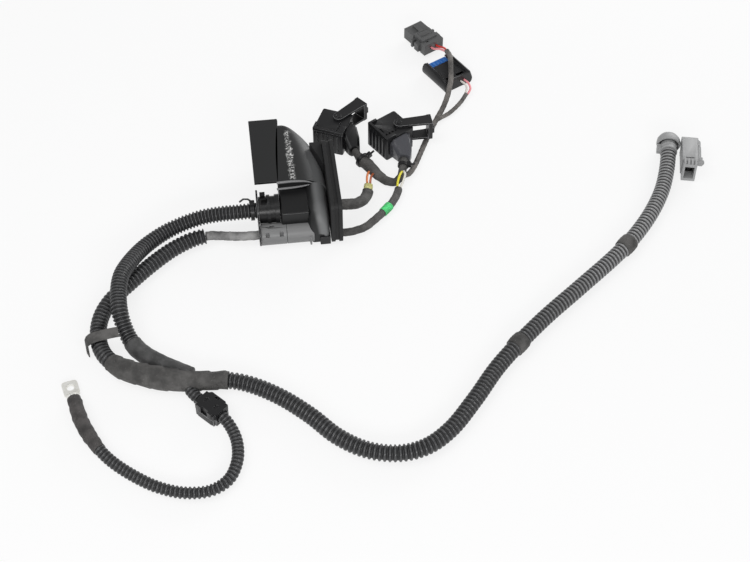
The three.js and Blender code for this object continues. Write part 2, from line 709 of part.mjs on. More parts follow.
function clipHalf(isUpper) {
  const middle = 9.2;
  const z0 = isUpper ? middle + CLEARANCE / 2 : 0;
  const z1 = isUpper ? CLIP_HEIGHT : middle - CLEARANCE / 2;
  const half = CLIP_LENGTH / 2;
  const bore = rod('x', THIN_CONDUIT_DIAMETER / 2 + 0.8, -half - 1, half + 1, 0, middle, 20);
  const blocks = [
    roundedPlate(-half + 4, half - 4, -CLIP_WIDTH / 2, CLIP_WIDTH / 2, z0, z1, 2, 2),
    boxBetween(-half, half, -8.6, 8.6, z0, z1),
  ];
  for (const x of [-half + 2, half - 2 - CLIP_TOOTH]) {
    for (const side of [-1, 1]) {
      const edge = side * (CLIP_WIDTH / 2 - 0.5);
      blocks.push(boxBetween(x, x + CLIP_TOOTH, Math.min(0, edge), Math.max(0, edge), z0, z1 - (isUpper ? 2 : 0)));
    }
  }
  const slots = [bore];
  if (isUpper) {
    slots.push(boxBetween(-4.5, 4.5, -CLIP_WIDTH, -CLIP_WIDTH / 2 + 2.2, z0 - 1, z1 + 1));
    slots.push(boxBetween(-3, 3, CLIP_WIDTH / 2 - 4, CLIP_WIDTH / 2 - 1.6, z1 - 3, z1 + 1));
    slots.push(boxBetween(-half + 6, -half + 10, -3, 3, z1 - 1, z1 + 1));
    slots.push(boxBetween(half - 10, half - 6, -3, 3, z1 - 1, z1 + 1));
  }
  return cut(join(...blocks), ...slots);
}

clipPlace.add(part('clip_base', clipHalf(false), BLACK_PLASTIC, 0.4));
clipPlace.add(part('clip_lid', clipHalf(true), BLACK_PLASTIC, 0.4));

// Ring terminal: a crimp barrel that flattens into a tongue with a bolt hole.
function ringTerminal() {
  const tongue = roundedPlate(
    9, RING_LENGTH, -RING_WIDTH / 2, RING_WIDTH / 2, 0, RING_THICKNESS, 4, 4,
  );
  const barrel = loft([0, 4, 9, 13].map((x, index) => {
    const halfWidth = [5, 5, 6.4, 7][index];
    const halfHeight = [5, 5, 2.8, 1.4][index];
    const centreZ = [8.2, 8.2, 4, 1.5][index];
    return Array.from({ length: 14 }, (_, side) => {
      const angle = (2 * Math.PI * side) / 14;
      return new THREE.Vector3(x, halfWidth * Math.cos(angle), centreZ + halfHeight * Math.sin(angle));
    });
  }));
  return cut(
    join(tongue, barrel),
    rod('z', RING_HOLE_DIAMETER / 2, -2, RING_THICKNESS + 2, RING_LENGTH - 9, 0, 32),
  );
}

const ring = part('ring_terminal', ringTerminal(), 0xd9d8cf, 0.35, 0.9);
ring.position.set(-256.1, -275.6, 0);
ring.rotation.z = THREE.MathUtils.degToRad(103);
harness.add(ring);

// End connector of the long conduit: a boot, a backshell that turns the wires round, and the
// housing that faces back beside the conduit, with its lock.
const END_BOOT_DIAMETER = 21;
const END_BOOT_LENGTH = 20;
const END_HOUSING_WIDTH = 18;
const END_HOUSING_LENGTH = 48;
const END_HOUSING_FAR = 16;
const END_HOUSING_HEIGHT = 26;
const END_SOCKET_DEPTH = 16;
const END_WALL = 2.4;
const END_CUP_RIM = 13;
const END_CUP_LENGTH = 18;
const END_CUP_RADIUS = 14.6;
const END_OFFSET = 24;
const END_LOCK_RADIUS = 3.6;

const endPlace = new THREE.Group();
endPlace.position.set(449, 8, 0);
endPlace.rotation.z = THREE.MathUtils.degToRad(-14);
harness.add(endPlace);

const BOOT_HEIGHT = 12;
const BOOT_START = 1.1;

// A body turned about a line along Y, flattened to the given height.
function turnedAlongY(stations, centreZ, flatness = 1, sides = 24) {
  return loft(stations.map(([y, radius]) => Array.from({ length: sides }, (_, side) => {
    const angle = -(2 * Math.PI * side) / sides;
    return new THREE.Vector3(radius * Math.cos(angle), y, centreZ + flatness * radius * Math.sin(angle));
  })));
}

// The boot is a ribbed sleeve on the conduit that closes in a dome.
function endBoot() {
  const radius = END_BOOT_DIAMETER / 2;
  const waist = radius - 0.6;
  const body = turnedAlongY([
    [BOOT_START, radius], [4, radius], [4.1, waist], [7, waist], [7.1, radius], [9, radius], [9.1, waist],
    [END_BOOT_LENGTH - 5, waist - 0.3], [END_BOOT_LENGTH - 2, waist - 1.9], [END_BOOT_LENGTH, waist - 5],
    [END_BOOT_LENGTH + 0.3, 3], [END_CUP_RIM + END_CUP_LENGTH - 8 - CLEARANCE, 3],
  ], BOOT_HEIGHT);
  return join(body, boxBetween(-radius - 3.5, -radius + 3, 2, 11, BOOT_HEIGHT - 4, BOOT_HEIGHT + 4));
}

// The backshell is a cup round the boot's dome; the wires turn round in it into the housing.
function endBackshell() {
  const rim = END_CUP_RIM;
  const end = rim + END_CUP_LENGTH;
  const flatness = (END_HOUSING_HEIGHT / 2 - 0.4) / END_CUP_RADIUS;
  const outside = turnedAlongY([
    [rim, END_CUP_RADIUS - 0.6], [rim + 3, END_CUP_RADIUS], [rim + 9, END_CUP_RADIUS - 1], [end - 4, END_CUP_RADIUS - 4],
    [end - 1, END_CUP_RADIUS - 9], [end, 1.5],
  ], END_HOUSING_HEIGHT / 2, flatness);
  const inside = turnedAlongY([
    [rim - 1, END_CUP_RADIUS - 2.2], [rim + 4, END_CUP_RADIUS - 2.6], [rim + 8, END_CUP_RADIUS - 4.6], [end - 8, 6],
  ], BOOT_HEIGHT, 0.92);
  return cut(outside, inside);
}

function endHousing() {
  const far = END_HOUSING_FAR;
  const near = far - END_HOUSING_LENGTH;
  const left = END_OFFSET - END_HOUSING_WIDTH / 2;
  const right = END_OFFSET + END_HOUSING_WIDTH / 2;
  const blocks = [
    boxBetween(left, right, near + 10, far, 1.5, END_HOUSING_HEIGHT - 1.5),
    boxBetween(left + 1, right - 1, near, near + 11, 0, END_HOUSING_HEIGHT),
    boxBetween(left, right + 1, far - 6, far, 0, END_HOUSING_HEIGHT - 2),
    rod('x', 9.5, left, right + 1, far - 2, END_HOUSING_HEIGHT - 11, 20),
    rod('y', 4.6, far - 9, far, right, END_HOUSING_HEIGHT - 8, 16),
  ];
  const toothPitch = 4.2;
  for (let tooth = 0; tooth < 4; tooth += 1) {
    const x = left + 1.5 + tooth * toothPitch;
    blocks.push(boxBetween(x, x + 2.2, near, near + 8, END_HOUSING_HEIGHT - 2, END_HOUSING_HEIGHT + 3));
  }
  return cut(
    join(...blocks),
    boxBetween(left + 1 + END_WALL, right - 1 - END_WALL, near - 1, near + END_SOCKET_DEPTH, END_WALL + 1.5,
      END_HOUSING_HEIGHT - END_WALL - 2),
    boxBetween(left + 4, right - 4, near + 13, near + 15, END_HOUSING_HEIGHT - 3, END_HOUSING_HEIGHT + 3),
    rod('y', END_LOCK_RADIUS + CLEARANCE, near + 8, far - 9, right + 1.4, END_HOUSING_HEIGHT - 8, 16),
  );
}

function endLock() {
  const far = END_HOUSING_FAR - 9 - CLEARANCE;
  const near = far - 27;
  const right = END_OFFSET + END_HOUSING_WIDTH / 2;
  return join(
    rod('y', END_LOCK_RADIUS, near, far, right + 1.4, END_HOUSING_HEIGHT - 8, 16),
    rod('y', END_LOCK_RADIUS + 0.8, near + 1, near + 3, right + 4, END_HOUSING_HEIGHT - 8, 12),
    boxBetween(right + 2.5, right + 6, near, near + 7, END_HOUSING_HEIGHT - 12, END_HOUSING_HEIGHT - 4),
  );
}

function contactPlate(x0, x1, y0, y1, z0, z1, columns, rows) {
  const holes = [];
  const size = Math.min((x1 - x0) / (columns * 2), (z1 - z0) / (rows * 2));
  for (let column = 0; column < columns; column += 1) {
    for (let row = 0; row < rows; row += 1) {
      const x = x0 + ((column + 0.5) * (x1 - x0)) / columns;
      const z = z0 + ((row + 0.5) * (z1 - z0)) / rows;
      holes.push(boxBetween(x - size / 2, x + size / 2, y0 - 1, y1 - 1.5, z - size / 2, z + size / 2));
    }
  }
  return cut(boxBetween(x0, x1, y0, y1, z0, z1), ...holes);
}

function endInsert() {
  const back = END_HOUSING_FAR - END_HOUSING_LENGTH + END_SOCKET_DEPTH;
  const half = END_HOUSING_WIDTH / 2 - 1 - END_WALL - CLEARANCE;
  return contactPlate(
    END_OFFSET - half, END_OFFSET + half, back - 4, back - CLEARANCE,
    END_WALL + 1.5 + CLEARANCE, END_HOUSING_HEIGHT - END_WALL - 2 - CLEARANCE, 2, 3,
  );
}

endPlace.add(part('end_boot', endBoot(), 0x6a6b6d, 0.5));
endPlace.add(part('end_backshell', endBackshell(), 0x77797a, 0.5));
endPlace.add(part('end_housing', endHousing(), GREY_PLASTIC, 0.5));
endPlace.add(part('end_lock', endLock(), 0x77797a, 0.5));
endPlace.add(part('end_insert', endInsert(), BLACK_PLASTIC, 0.5));

// Lever connectors.  In each one's own frame the wires leave towards +X, the lever swings on the
// +Y side about an upright pivot, and the mating face looks towards -X.
const BLOCK_X = LEVER_BLOCK_LENGTH / 2;
const BLOCK_Y = LEVER_BLOCK_WIDTH / 2;
const RAIL_Y = -8;
const ARM_TOP_Z = LEVER_BLOCK_HEIGHT + CLEARANCE;

function leverHousing() {
  const blocks = [
    roundedPlate(-BLOCK_X, BLOCK_X, -BLOCK_Y, BLOCK_Y, 0, LEVER_BLOCK_HEIGHT, 2, 2),
    boxBetween(-BLOCK_X, -BLOCK_X + 3, -BLOCK_Y + 1, RAIL_Y, LEVER_BLOCK_HEIGHT - 1, LEVER_RAIL_TOP),
    boxBetween(BLOCK_X - 5, BLOCK_X, -BLOCK_Y + 1, RAIL_Y + 2, LEVER_BLOCK_HEIGHT - 1, LEVER_RAIL_TOP),
    boxBetween(-BLOCK_X, BLOCK_X, -BLOCK_Y + 1, -BLOCK_Y + 4, LEVER_BLOCK_HEIGHT - 1, LEVER_RAIL_TOP),
    rod('z', LEVER_PIN_RADIUS, LEVER_BLOCK_HEIGHT - 1, ARM_TOP_Z + LEVER_ARM_THICKNESS + 0.6,
      LEVER_PIVOT_X, LEVER_PIVOT_Y, 14),
  ];
  const ribCount = 5;
  for (let rib = 0; rib < ribCount; rib += 1) {
    const x = -BLOCK_X + 5 + rib * 6.4;
    blocks.push(boxBetween(x, x + 1.8, -BLOCK_Y - 1.4, -BLOCK_Y + 1, 2, LEVER_BLOCK_HEIGHT - 3));
  }
  const slotNear = LEVER_PIVOT_Y - LEVER_ARM_WIDTH / 2 - 1;
  const cuts = [
    cut(
      boxBetween(-BLOCK_X - 1, BLOCK_X + 1, slotNear, BLOCK_Y + 1, LEVER_SLOT_BOTTOM, LEVER_SLOT_TOP),
      rod('z', LEVER_PIN_RADIUS, LEVER_SLOT_BOTTOM - 1, LEVER_SLOT_TOP + 1, LEVER_PIVOT_X, LEVER_PIVOT_Y, 14),
    ),
    boxBetween(-BLOCK_X - 1, -BLOCK_X + MATING_DEPTH, -BLOCK_Y + 3.5, BLOCK_Y - 3.5, LEVER_SLOT_TOP + 2,
      LEVER_BLOCK_HEIGHT - 2.4),
  ];
  const pocketCount = 4;
  for (let pocket = 0; pocket < pocketCount; pocket += 1) {
    const y = -BLOCK_Y + 6 + pocket * 4.6;
    cuts.push(boxBetween(BLOCK_X - 11, BLOCK_X - 8.5, y, y + 2.6, LEVER_BLOCK_HEIGHT - 1.5, LEVER_BLOCK_HEIGHT + 9));
  }
  cuts.push(boxBetween(-4, 4, -BLOCK_Y + 5, -BLOCK_Y + 8, LEVER_BLOCK_HEIGHT - 1.5, LEVER_BLOCK_HEIGHT + 1));
  return cut(join(...blocks), ...cuts);
}

function leverInsert() {
  const back = -BLOCK_X + MATING_DEPTH - CLEARANCE;
  const half = BLOCK_Y - 3.5 - CLEARANCE;
  return contactPlate(
    -half, half, back - INSERT_THICKNESS, back,
    LEVER_SLOT_TOP + 2 + CLEARANCE, LEVER_BLOCK_HEIGHT - 2.4 - CLEARANCE, 6, 2,
  ).rotateZ(-Math.PI / 2);
}

// The wire cover narrows from the block's whole face to a round exit, which may be turned aside.
function wireCover(exitX, exitY, exitDegrees) {
  const start = BLOCK_X + CLEARANCE;
  const stations = [
    [0, 13.2, 2.5, 29],
    [0.35, 12.6, 2, 28],
    [0.7, 10, 2.6, 23],
    [1, 7.2, 4.6, 19.6],
  ];
  const bevel = 3.5;
  const rings = stations.map(([share, half, z0, z1]) => {
    const turn = THREE.MathUtils.degToRad(exitDegrees * share);
    const centreX = start + (exitX - start) * share;
    const centreY = -1.3 + (exitY + 1.3) * share ** 1.5;
    return [
      [-half + bevel, z0], [half - bevel, z0], [half, z0 + bevel], [half, z1 - bevel],
      [half - bevel, z1], [-half + bevel, z1], [-half, z1 - bevel], [-half, z0 + bevel],
    ].map(([across, z]) => new THREE.Vector3(
      centreX - across * Math.sin(turn), centreY + across * Math.cos(turn), z,
    ));
  });
  const exit = rod('x', COVER_EXIT_RADIUS, -12, 3, 0, 0, 16)
    .rotateZ(THREE.MathUtils.degToRad(exitDegrees))
    .translate(exitX, exitY, COVER_EXIT_Z);
  const rib = boxBetween(start, start + 2, -15.5, 12.6, 6, 26);
  return cut(join(loft(rings), rib), exit);
}

function lockingLever() {
  const inner = LEVER_REACH - LEVER_BAR_THICKNESS;
  const half = LEVER_ARM_WIDTH / 2;
  const arm = (z0) => {
    const shape = new THREE.Shape();
    shape.moveTo(-half, 0);
    shape.absarc(0, 0, half, Math.PI, 2 * Math.PI);
    shape.lineTo(half + 1, inner - 4);
    shape.lineTo(half + 2, LEVER_REACH);
    shape.lineTo(-half - 2, LEVER_REACH);
    shape.lineTo(-half - 1, inner - 4);
    shape.closePath();
    const plate = pulled(shape, z0, z0 + LEVER_ARM_THICKNESS, 6);
    return cut(plate, rod('z', LEVER_PIN_RADIUS + CLEARANCE, z0 - 1, z0 + 5, 0, 0, 16));
  };
  const bottom = LEVER_SLOT_BOTTOM + (LEVER_SLOT_TOP - LEVER_SLOT_BOTTOM - LEVER_ARM_THICKNESS) / 2;
  const bar = boxBetween(-half - 2, half + 2, inner, LEVER_REACH, bottom, ARM_TOP_Z + LEVER_ARM_THICKNESS);
  const grip = boxBetween(-half - 2, half + 2, LEVER_REACH - 1, LEVER_REACH + 2, 18, 26);
  return join(arm(bottom), arm(ARM_TOP_Z), bar, grip);
}

function leverConnector(side, x, y, turnDegrees, leverDegrees, exit) {
  const place = new THREE.Group();
  place.position.set(x, y, 0);
  place.rotation.z = THREE.MathUtils.degToRad(turnDegrees);
  place.add(part(`${side}_lever_housing`, leverHousing(), BLACK_PLASTIC, 0.45));
  place.add(part(`${side}_contact_insert`, leverInsert(), BLACK_PLASTIC, 0.5));
  place.add(part(`${side}_wire_cover`, wireCover(...exit), GREY_PLASTIC, 0.4));
  const lever = part(`${side}_locking_lever`, lockingLever(), 0x3a3a3c, 0.4);
  lever.position.set(LEVER_PIVOT_X, LEVER_PIVOT_Y, 0);
  lever.rotation.z = THREE.MathUtils.degToRad(leverDegrees);
  place.add(lever);
  harness.add(place);
}

leverConnector('left', 54, 91, -25, -27, [34.3, -20.8, -45]);
leverConnector('right', 122, 76, -59, -28, [40, -11, -45]);

// Cables between the housing and the lever connectors

const branchOneRoute = routeThrough([
  [HOUSING_HALF_WIDTH - CABLE_WAY_DEPTH, BRANCH_ONE_Y, BRANCH_ONE_Z],
  [50, BRANCH_ONE_Y, BRANCH_ONE_Z],
  [58, BRANCH_ONE_Y + 0.8, BRANCH_ONE_Z - 1.4],
  [67, -37, 18.5],
  [75.5, -29, 14],
  [81.2, -20.5, 12.2],
  [84.2, -12, 14],
  [85.6, -6, 17],
]);
const branchTwoRoute = routeThrough([
  [HOUSING_HALF_WIDTH - CABLE_WAY_DEPTH, BRANCH_TWO_Y, BRANCH_TWO_Z],
  [57, BRANCH_TWO_Y, BRANCH_TWO_Z - 0.8],
  [75, -63, 5.4],
  [93, -47, 5],
  [108, -31, 5],
  [117, -17, 5],
  [121, -6, 5],
]);
const BAND_LENGTH = 8;
const GREEN_BAND_START = 68;
const GREEN_BAND_LENGTH = 13;

function bandOn(route, from, to, cableDiameter, bandDiameter) {
  return cut(
    taperedTube(new Stretch(route, from, to), [0, 0, 0].map(() => bandDiameter / 2), 12),
    taperedTube(new Stretch(route, from - 3, to + 3), [0, 0, 0, 0].map(() => cableDiameter / 2 + CLEARANCE + 0.2), 12),
  );
}

const branchOneLength = branchOneRoute.getLength();
harness.add(part('branch_one_cable', tube(
  new Stretch(branchOneRoute, 0, branchOneLength - BAND_LENGTH), BRANCH_ONE_DIAMETER, 10, 1.2,
), CLOTH_TAPE, 0.85));
harness.add(part('branch_one_band', taperedTube(
  new Stretch(branchOneRoute, branchOneLength - BAND_LENGTH + CLEARANCE, branchOneLength), [5.4, 5.4, 4.9], 12,
), 0xf2e04a, 0.6));
harness.add(part('branch_two_cable', tube(branchTwoRoute, BRANCH_TWO_DIAMETER, 10, 1.6), CLOTH_TAPE, 0.85));
harness.add(part('branch_two_band', bandOn(
  branchTwoRoute, GREEN_BAND_START, GREEN_BAND_START + GREEN_BAND_LENGTH, BRANCH_TWO_DIAMETER, 11.2,
), 0x3fa45c, 0.7));

// The link bundle joins the two lever connectors, and the wires and the tall cable run into it.
const linkRoute = routeThrough([
  [76.3, 57.6, 12],
  [80.8, 46.3, 12.3],
  [87.2, 36.4, 11.2],
  [94.6, 26, 9],
  [102, 15.8, 6.6],
  [110, 8.2, 5.5],
  [118.5, 6.3, 5.2],
  [125.5, 11.5, 6.5],
  [129, 19, 9.5],
  [131.4, 28.5, 12],
  [134.4, 40.9, 12],
]);
const LEFT_TIE_AT = 18.5;
const RIGHT_TIE_FROM_END = 15;

const BUNDLE_STEP = 1.1;

// The same tube a little wider, to keep what meets it clear of its skin.
function reachOf(route, diameter, sides, stepInDiameters) {
  const wider = diameter + 2 * CLEARANCE;
  return tube(route, wider, sides, (stepInDiameters * diameter) / wider);
}

// The bundle is widest just past its left tie, where the wires of both connectors come together.
const linkWidths = [0, 0, 0.9, 1, 0.8, 0.55, 0.3, 0.12, 0, 0, 0, 0, 0].map(
  (share) => LINK_DIAMETER + share * (LINK_WIDE_DIAMETER - LINK_DIAMETER),
);
const linkTube = (extra) => taperedTube(linkRoute, linkWidths.map((width) => width / 2 + extra), 12);
const linkReach = linkTube(CLEARANCE);

harness.add(part('link_bundle', linkTube(0), CLOTH_TAPE, 0.85));

function bundleTie(name, at, bundleDiameter, headDegrees) {
  const inner = bundleDiameter / 2 + CLEARANCE + 0.3;
  const geometry = cut(
    join(
      rod('x', inner + 1.2, -2, 2, 0, 0, 20),
      boxBetween(-2.6, 2.6, -2.8, 2.8, inner, inner + 5),
      rod('z', 1.3, inner + 4, inner + 10, 0, 0, 8),
    ),
    rod('x', inner, -3, 3, 0, 0, 20),
  ).rotateX(THREE.MathUtils.degToRad(headDegrees));
  const share = at / linkRoute.getLength();
  const along = linkRoute.getTangentAt(share);
  const across = new THREE.Vector3(0, 0, 1).cross(along).normalize();
  const upright = along.clone().cross(across);
  const turn = new THREE.Matrix4().makeBasis(along, across, upright);
  const tie = part(name, geometry.applyMatrix4(turn), BLACK_PLASTIC, 0.5);
  tie.position.copy(linkRoute.getPointAt(share));
  harness.add(tie);
}

bundleTie('left_tie', LEFT_TIE_AT, LINK_WIDE_DIAMETER, -75);
bundleTie('right_tie', linkRoute.getLength() - RIGHT_TIE_FROM_END, LINK_DIAMETER, 70);

const wires = {
  branch_one_wire_orange: [0xd9742e, [[84.1, -4.8, 18.1], [84.8, 3, 18.4], [86.4, 11, 16.5], [90, 22, 12], [93, 26, 10]]],
  branch_one_wire_brown: [0x8a4a2c, [[87.6, -5.4, 17.4], [89, 2, 17.2], [91, 10, 14.6], [94.6, 19, 10], [97, 22, 8]]],
  branch_two_wire_yellow: [0xf0e22e, [[119.8, -4.5, 6.3], [121.6, 2, 11.2], [125, 9.5, 13.6], [128.9, 17, 11.5]]],
  branch_two_wire_white: [0xe8e6df, [[123, -5.7, 4.9], [127.6, 2, 9], [131, 9.5, 13], [129.9, 18, 11.6]]],
};
for (const [name, [colour, points]] of Object.entries(wires)) {
  harness.add(part(name, cut(tube(routeThrough(points), WIRE_DIAMETER, 8, 2.2), linkReach), colour, 0.45));
}

// Tall cable to the three-way connector, over the short cable's socket connector

const tallRoute = routeThrough([
  [131, 14.5, 6.5],
  [137, 18.5, 5],
  [144, 29, 4],
  [151, 43, 3.7],
  [163, 69, 3.7],
  [174, 92, 3.7],
  [184, 111, 3.7],
  [195, 129, 6.4],
  [202, 141, 14],
  [206, 151, 19.8],
  [209, 161, 22.6],
  [212, 181, 22.8],
  [214.5, 204, 22.8],
  [212.5, 217, 21.4],
]);
const shortRoute = routeThrough([
  [184, 109.5, 3.4],
  [190, 113.8, 3],
  [199, 119, 3],
  [210, 129, 3],
  [220, 141, 3],
  [227.5, 152, 4],
]);
harness.add(part('tall_branch_cable', cut(
  tube(tallRoute, TALL_BRANCH_DIAMETER, 10, BUNDLE_STEP), linkReach,
), CLOTH_TAPE, 0.8));
harness.add(part('short_branch_cable', cut(
  tube(shortRoute, SHORT_BRANCH_DIAMETER, 10, 1.8), reachOf(tallRoute, TALL_BRANCH_DIAMETER, 10, BUNDLE_STEP),
), CLOTH_TAPE, 0.8));

// Three-way connector: rear, winged body and nose, with a retainer plate in the top.
const THREE_WAY_HEIGHT = 20;
const THREE_WAY_LENGTH = 45;
const THREE_WAY_WIRE_OFFSET = 4;
const THREE_WAY_WIRE_Z = 11;

function threeWayHousing() {
  const nose = THREE_WAY_LENGTH - 18;
  const body = join(
    boxBetween(0, 9, -15, 15, 3, 18),
    roundedPlate(8, nose, -12, 12, 0, THREE_WAY_HEIGHT, 1.5, 2),
    boxBetween(10, 18, -18, 18, 4, 15),
    boxBetween(22, nose - 2, -18, 18, 4, 15),
    boxBetween(nose - 1, THREE_WAY_LENGTH, -13.5, 13.5, 2.5, 17.5),
    boxBetween(nose, THREE_WAY_LENGTH - 4, -3, 3, 16, THREE_WAY_HEIGHT),
  );
  return cut(
    body,
    boxBetween(THREE_WAY_LENGTH - 12, THREE_WAY_LENGTH + 1, -11, 11, 5, 15),
    boxBetween(14, 25, -8, 8, THREE_WAY_HEIGHT - 3, THREE_WAY_HEIGHT + 1),
    boxBetween(5, 7.4, 4, 8, 15.5, 19),
    ...[-1, 1].map((side) => rod(
      'x', WIRE_DIAMETER / 2 + PORT_CLEARANCE, -1, 6, side * THREE_WAY_WIRE_OFFSET, THREE_WAY_WIRE_Z, 12,
    )),
  );
}

function threeWayRetainer() {
  return join(
    boxBetween(14 + CLEARANCE, 25 - CLEARANCE, -8 + CLEARANCE, 8 - CLEARANCE, THREE_WAY_HEIGHT - 2.7, THREE_WAY_HEIGHT),
    boxBetween(16, 18, -6, 6, THREE_WAY_HEIGHT - 1, THREE_WAY_HEIGHT + 1),
  );
}

const threeWayPlace = new THREE.Group();
threeWayPlace.position.set(199.5, 240.3, 0);
threeWayPlace.rotation.z = THREE.MathUtils.degToRad(119.6);
threeWayPlace.add(part('three_way_housing', threeWayHousing(), GREY_PLASTIC, 0.5));
threeWayPlace.add(part('three_way_retainer', threeWayRetainer(), 0x7a7c7e, 0.5));
harness.add(threeWayPlace);

// Socket connector: a flat shell between two rounded side rails, open at the front, with a blue
// insert whose tongue shows where the roof stops short of the mouth.
const SHELL_LENGTH = 48;
const SHELL_WIDTH = 43;
const SHELL_HEIGHT = 18;
const SHELL_ROOF = 14.5;
const SHELL_RAIL_WIDTH = 8;
const SHELL_WALL = 2.4;
const SHELL_DEPTH = 22;
const SHELL_WINDOW = 12;
const SHELL_WIRE_OFFSETS = [-4, -9];
const SHELL_WIRE_Z = 9;
const TONGUE_THICKNESS = 1.6;

function socketShell() {
  const back = -SHELL_LENGTH / 2;
  const front = SHELL_LENGTH / 2;
  const half = SHELL_WIDTH / 2;
  const rail = (side) => loft([back, back + 3, front - 6, front].map((x, index) => {
    const rise = [0.7, 1, 1, 0.86][index] * SHELL_HEIGHT / 2;
    return Array.from({ length: 12 }, (_, corner) => {
      const angle = (2 * Math.PI * corner) / 12;
      return new THREE.Vector3(
        x, side * (half - SHELL_RAIL_WIDTH / 2) + (SHELL_RAIL_WIDTH / 2) * Math.cos(angle), rise + rise * Math.sin(angle),
      );
    });
  }));
  return cut(
    join(
      boxBetween(back + 1, front, -half + 3, half - 3, 0, SHELL_ROOF),
      boxBetween(back, back + 4, -half + 4, half - 4, 1, SHELL_HEIGHT - 1),
      rail(-1),
      rail(1),
    ),
    boxBetween(
      front - SHELL_DEPTH, front + 1, -half + SHELL_RAIL_WIDTH - 2, half - SHELL_RAIL_WIDTH + 2, SHELL_WALL,
      SHELL_ROOF - SHELL_WALL + 0.4,
    ),
    boxBetween(
      front - SHELL_WINDOW, front + 1, -half + SHELL_RAIL_WIDTH, half - SHELL_RAIL_WIDTH, SHELL_ROOF - 4, SHELL_HEIGHT + 1,
    ),
    ...[-1, 1].map((side) => boxBetween(
      back + 5, back + 10, side > 0 ? 2 : -half + SHELL_RAIL_WIDTH, side > 0 ? half - SHELL_RAIL_WIDTH : -2, 8,
      SHELL_HEIGHT + 1,
    )),
    ...SHELL_WIRE_OFFSETS.map((y) => rod(
      'x', WIRE_DIAMETER / 2 + PORT_CLEARANCE, back - 1, back + 5, y, SHELL_WIRE_Z, 12,
    )),
  );
}

function socketInsert() {
  const half = SHELL_WIDTH / 2 - SHELL_RAIL_WIDTH + 2 - CLEARANCE;
  const back = SHELL_LENGTH / 2 - SHELL_DEPTH + CLEARANCE;
  const top = SHELL_ROOF - SHELL_WALL + 0.4 - CLEARANCE;
  const plate = contactPlate(-half, half, -back - 6, -back, SHELL_WALL + CLEARANCE, top, 7, 2).rotateZ(Math.PI / 2);
  const tongue = boxBetween(
    back + 3, SHELL_LENGTH / 2 - 0.8, -half + 2, half - 2, top - TONGUE_THICKNESS, top,
  );
  const keyCount = 4;
  const keys = Array.from({ length: keyCount }, (_, key) => boxBetween(
    SHELL_LENGTH / 2 - SHELL_WINDOW + 2, SHELL_LENGTH / 2 - 2, -9 + key * 5, -6.4 + key * 5, top - 0.5, top + 1,
  ));
  return join(plate, tongue, ...keys);
}

const socketPlace = new THREE.Group();
socketPlace.position.set(209.3, 190.8, 0);
socketPlace.rotation.z = THREE.MathUtils.degToRad(118);
socketPlace.add(part('socket_shell', socketShell(), BLACK_PLASTIC, 0.45));
socketPlace.add(part('socket_insert', socketInsert(), 0x2f6fb4, 0.5));
harness.add(socketPlace);

// Wires into the two small connectors; each starts at its cable's end.
const endWires = {
  three_way_wire_red: [0xb8372f, [[213.4, 217.9, 20.9], [210.4, 229, 17], [204.8, 239.2, 11.8], [201.2, 245.7, 11]]],
  three_way_wire_pink: [0xe2a3a4, [[210.4, 217.6, 21.0], [205.2, 227, 17], [198.3, 235.2, 11.8], [194.1, 241.9, 11]]],
  socket_wire_white: [0xdcd6cf, [[226.6, 153.3, 4.6], [229.6, 160, 6.4], [228.4, 165.6, 8.4], [224.1, 171.5, 9], [222, 175.5, 9]]],
  socket_wire_pink: [0xe0a7a2, [[229.4, 151.5, 4.2], [234, 159.5, 6], [232.8, 167.2, 8.2], [228.5, 173.8, 9], [226.4, 177.8, 9]]],
};
for (const [name, [colour, points]] of Object.entries(endWires)) {
  harness.add(part(name, tube(routeThrough(points), WIRE_DIAMETER, 8, 1.8), colour, 0.45));
}

export default harness;
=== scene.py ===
# %% [markdown]
# # A vehicle wiring harness on a studio floor
# The real object is a bundle of wires in corrugated conduit and cloth tape. It joins a moulded
# bulkhead housing to connectors and a ring terminal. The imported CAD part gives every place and
# size. This lesson dresses it: soft parts are made anew as tubes, and hard parts get fine edges.

# %%
import math

import bmesh
import bpy
import numpy as np
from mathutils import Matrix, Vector


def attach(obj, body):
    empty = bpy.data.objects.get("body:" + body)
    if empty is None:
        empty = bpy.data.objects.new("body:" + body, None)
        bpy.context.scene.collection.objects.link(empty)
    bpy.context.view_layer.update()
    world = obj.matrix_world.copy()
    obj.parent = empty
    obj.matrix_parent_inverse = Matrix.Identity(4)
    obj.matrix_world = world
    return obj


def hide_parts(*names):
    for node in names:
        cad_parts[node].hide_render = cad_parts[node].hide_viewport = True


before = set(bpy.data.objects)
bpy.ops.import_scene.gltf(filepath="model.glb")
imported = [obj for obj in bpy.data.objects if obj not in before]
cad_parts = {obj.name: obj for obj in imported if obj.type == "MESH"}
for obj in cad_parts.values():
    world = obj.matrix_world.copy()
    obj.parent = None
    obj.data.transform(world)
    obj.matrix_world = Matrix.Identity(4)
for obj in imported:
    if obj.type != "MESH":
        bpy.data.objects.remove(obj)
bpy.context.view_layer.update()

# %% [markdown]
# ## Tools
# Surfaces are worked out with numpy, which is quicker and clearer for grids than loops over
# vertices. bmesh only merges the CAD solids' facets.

MM = 0.001
print("pieces in the frame:", len(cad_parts))

# %% [markdown]
# ## The camera
# The photograph looks down at 48 degrees from a little to the left, with a long lens. A camera
# can be aimed by eye, but here its place follows from the target, the angles and the distance.

# %% The camera
TARGET = Vector((0.0764, -0.1429, 0.0))
AZIMUTH = math.radians(-7)
ELEVATION = math.radians(48)
DISTANCE = 1.75
LENS, SENSOR_WIDTH = 75, 36

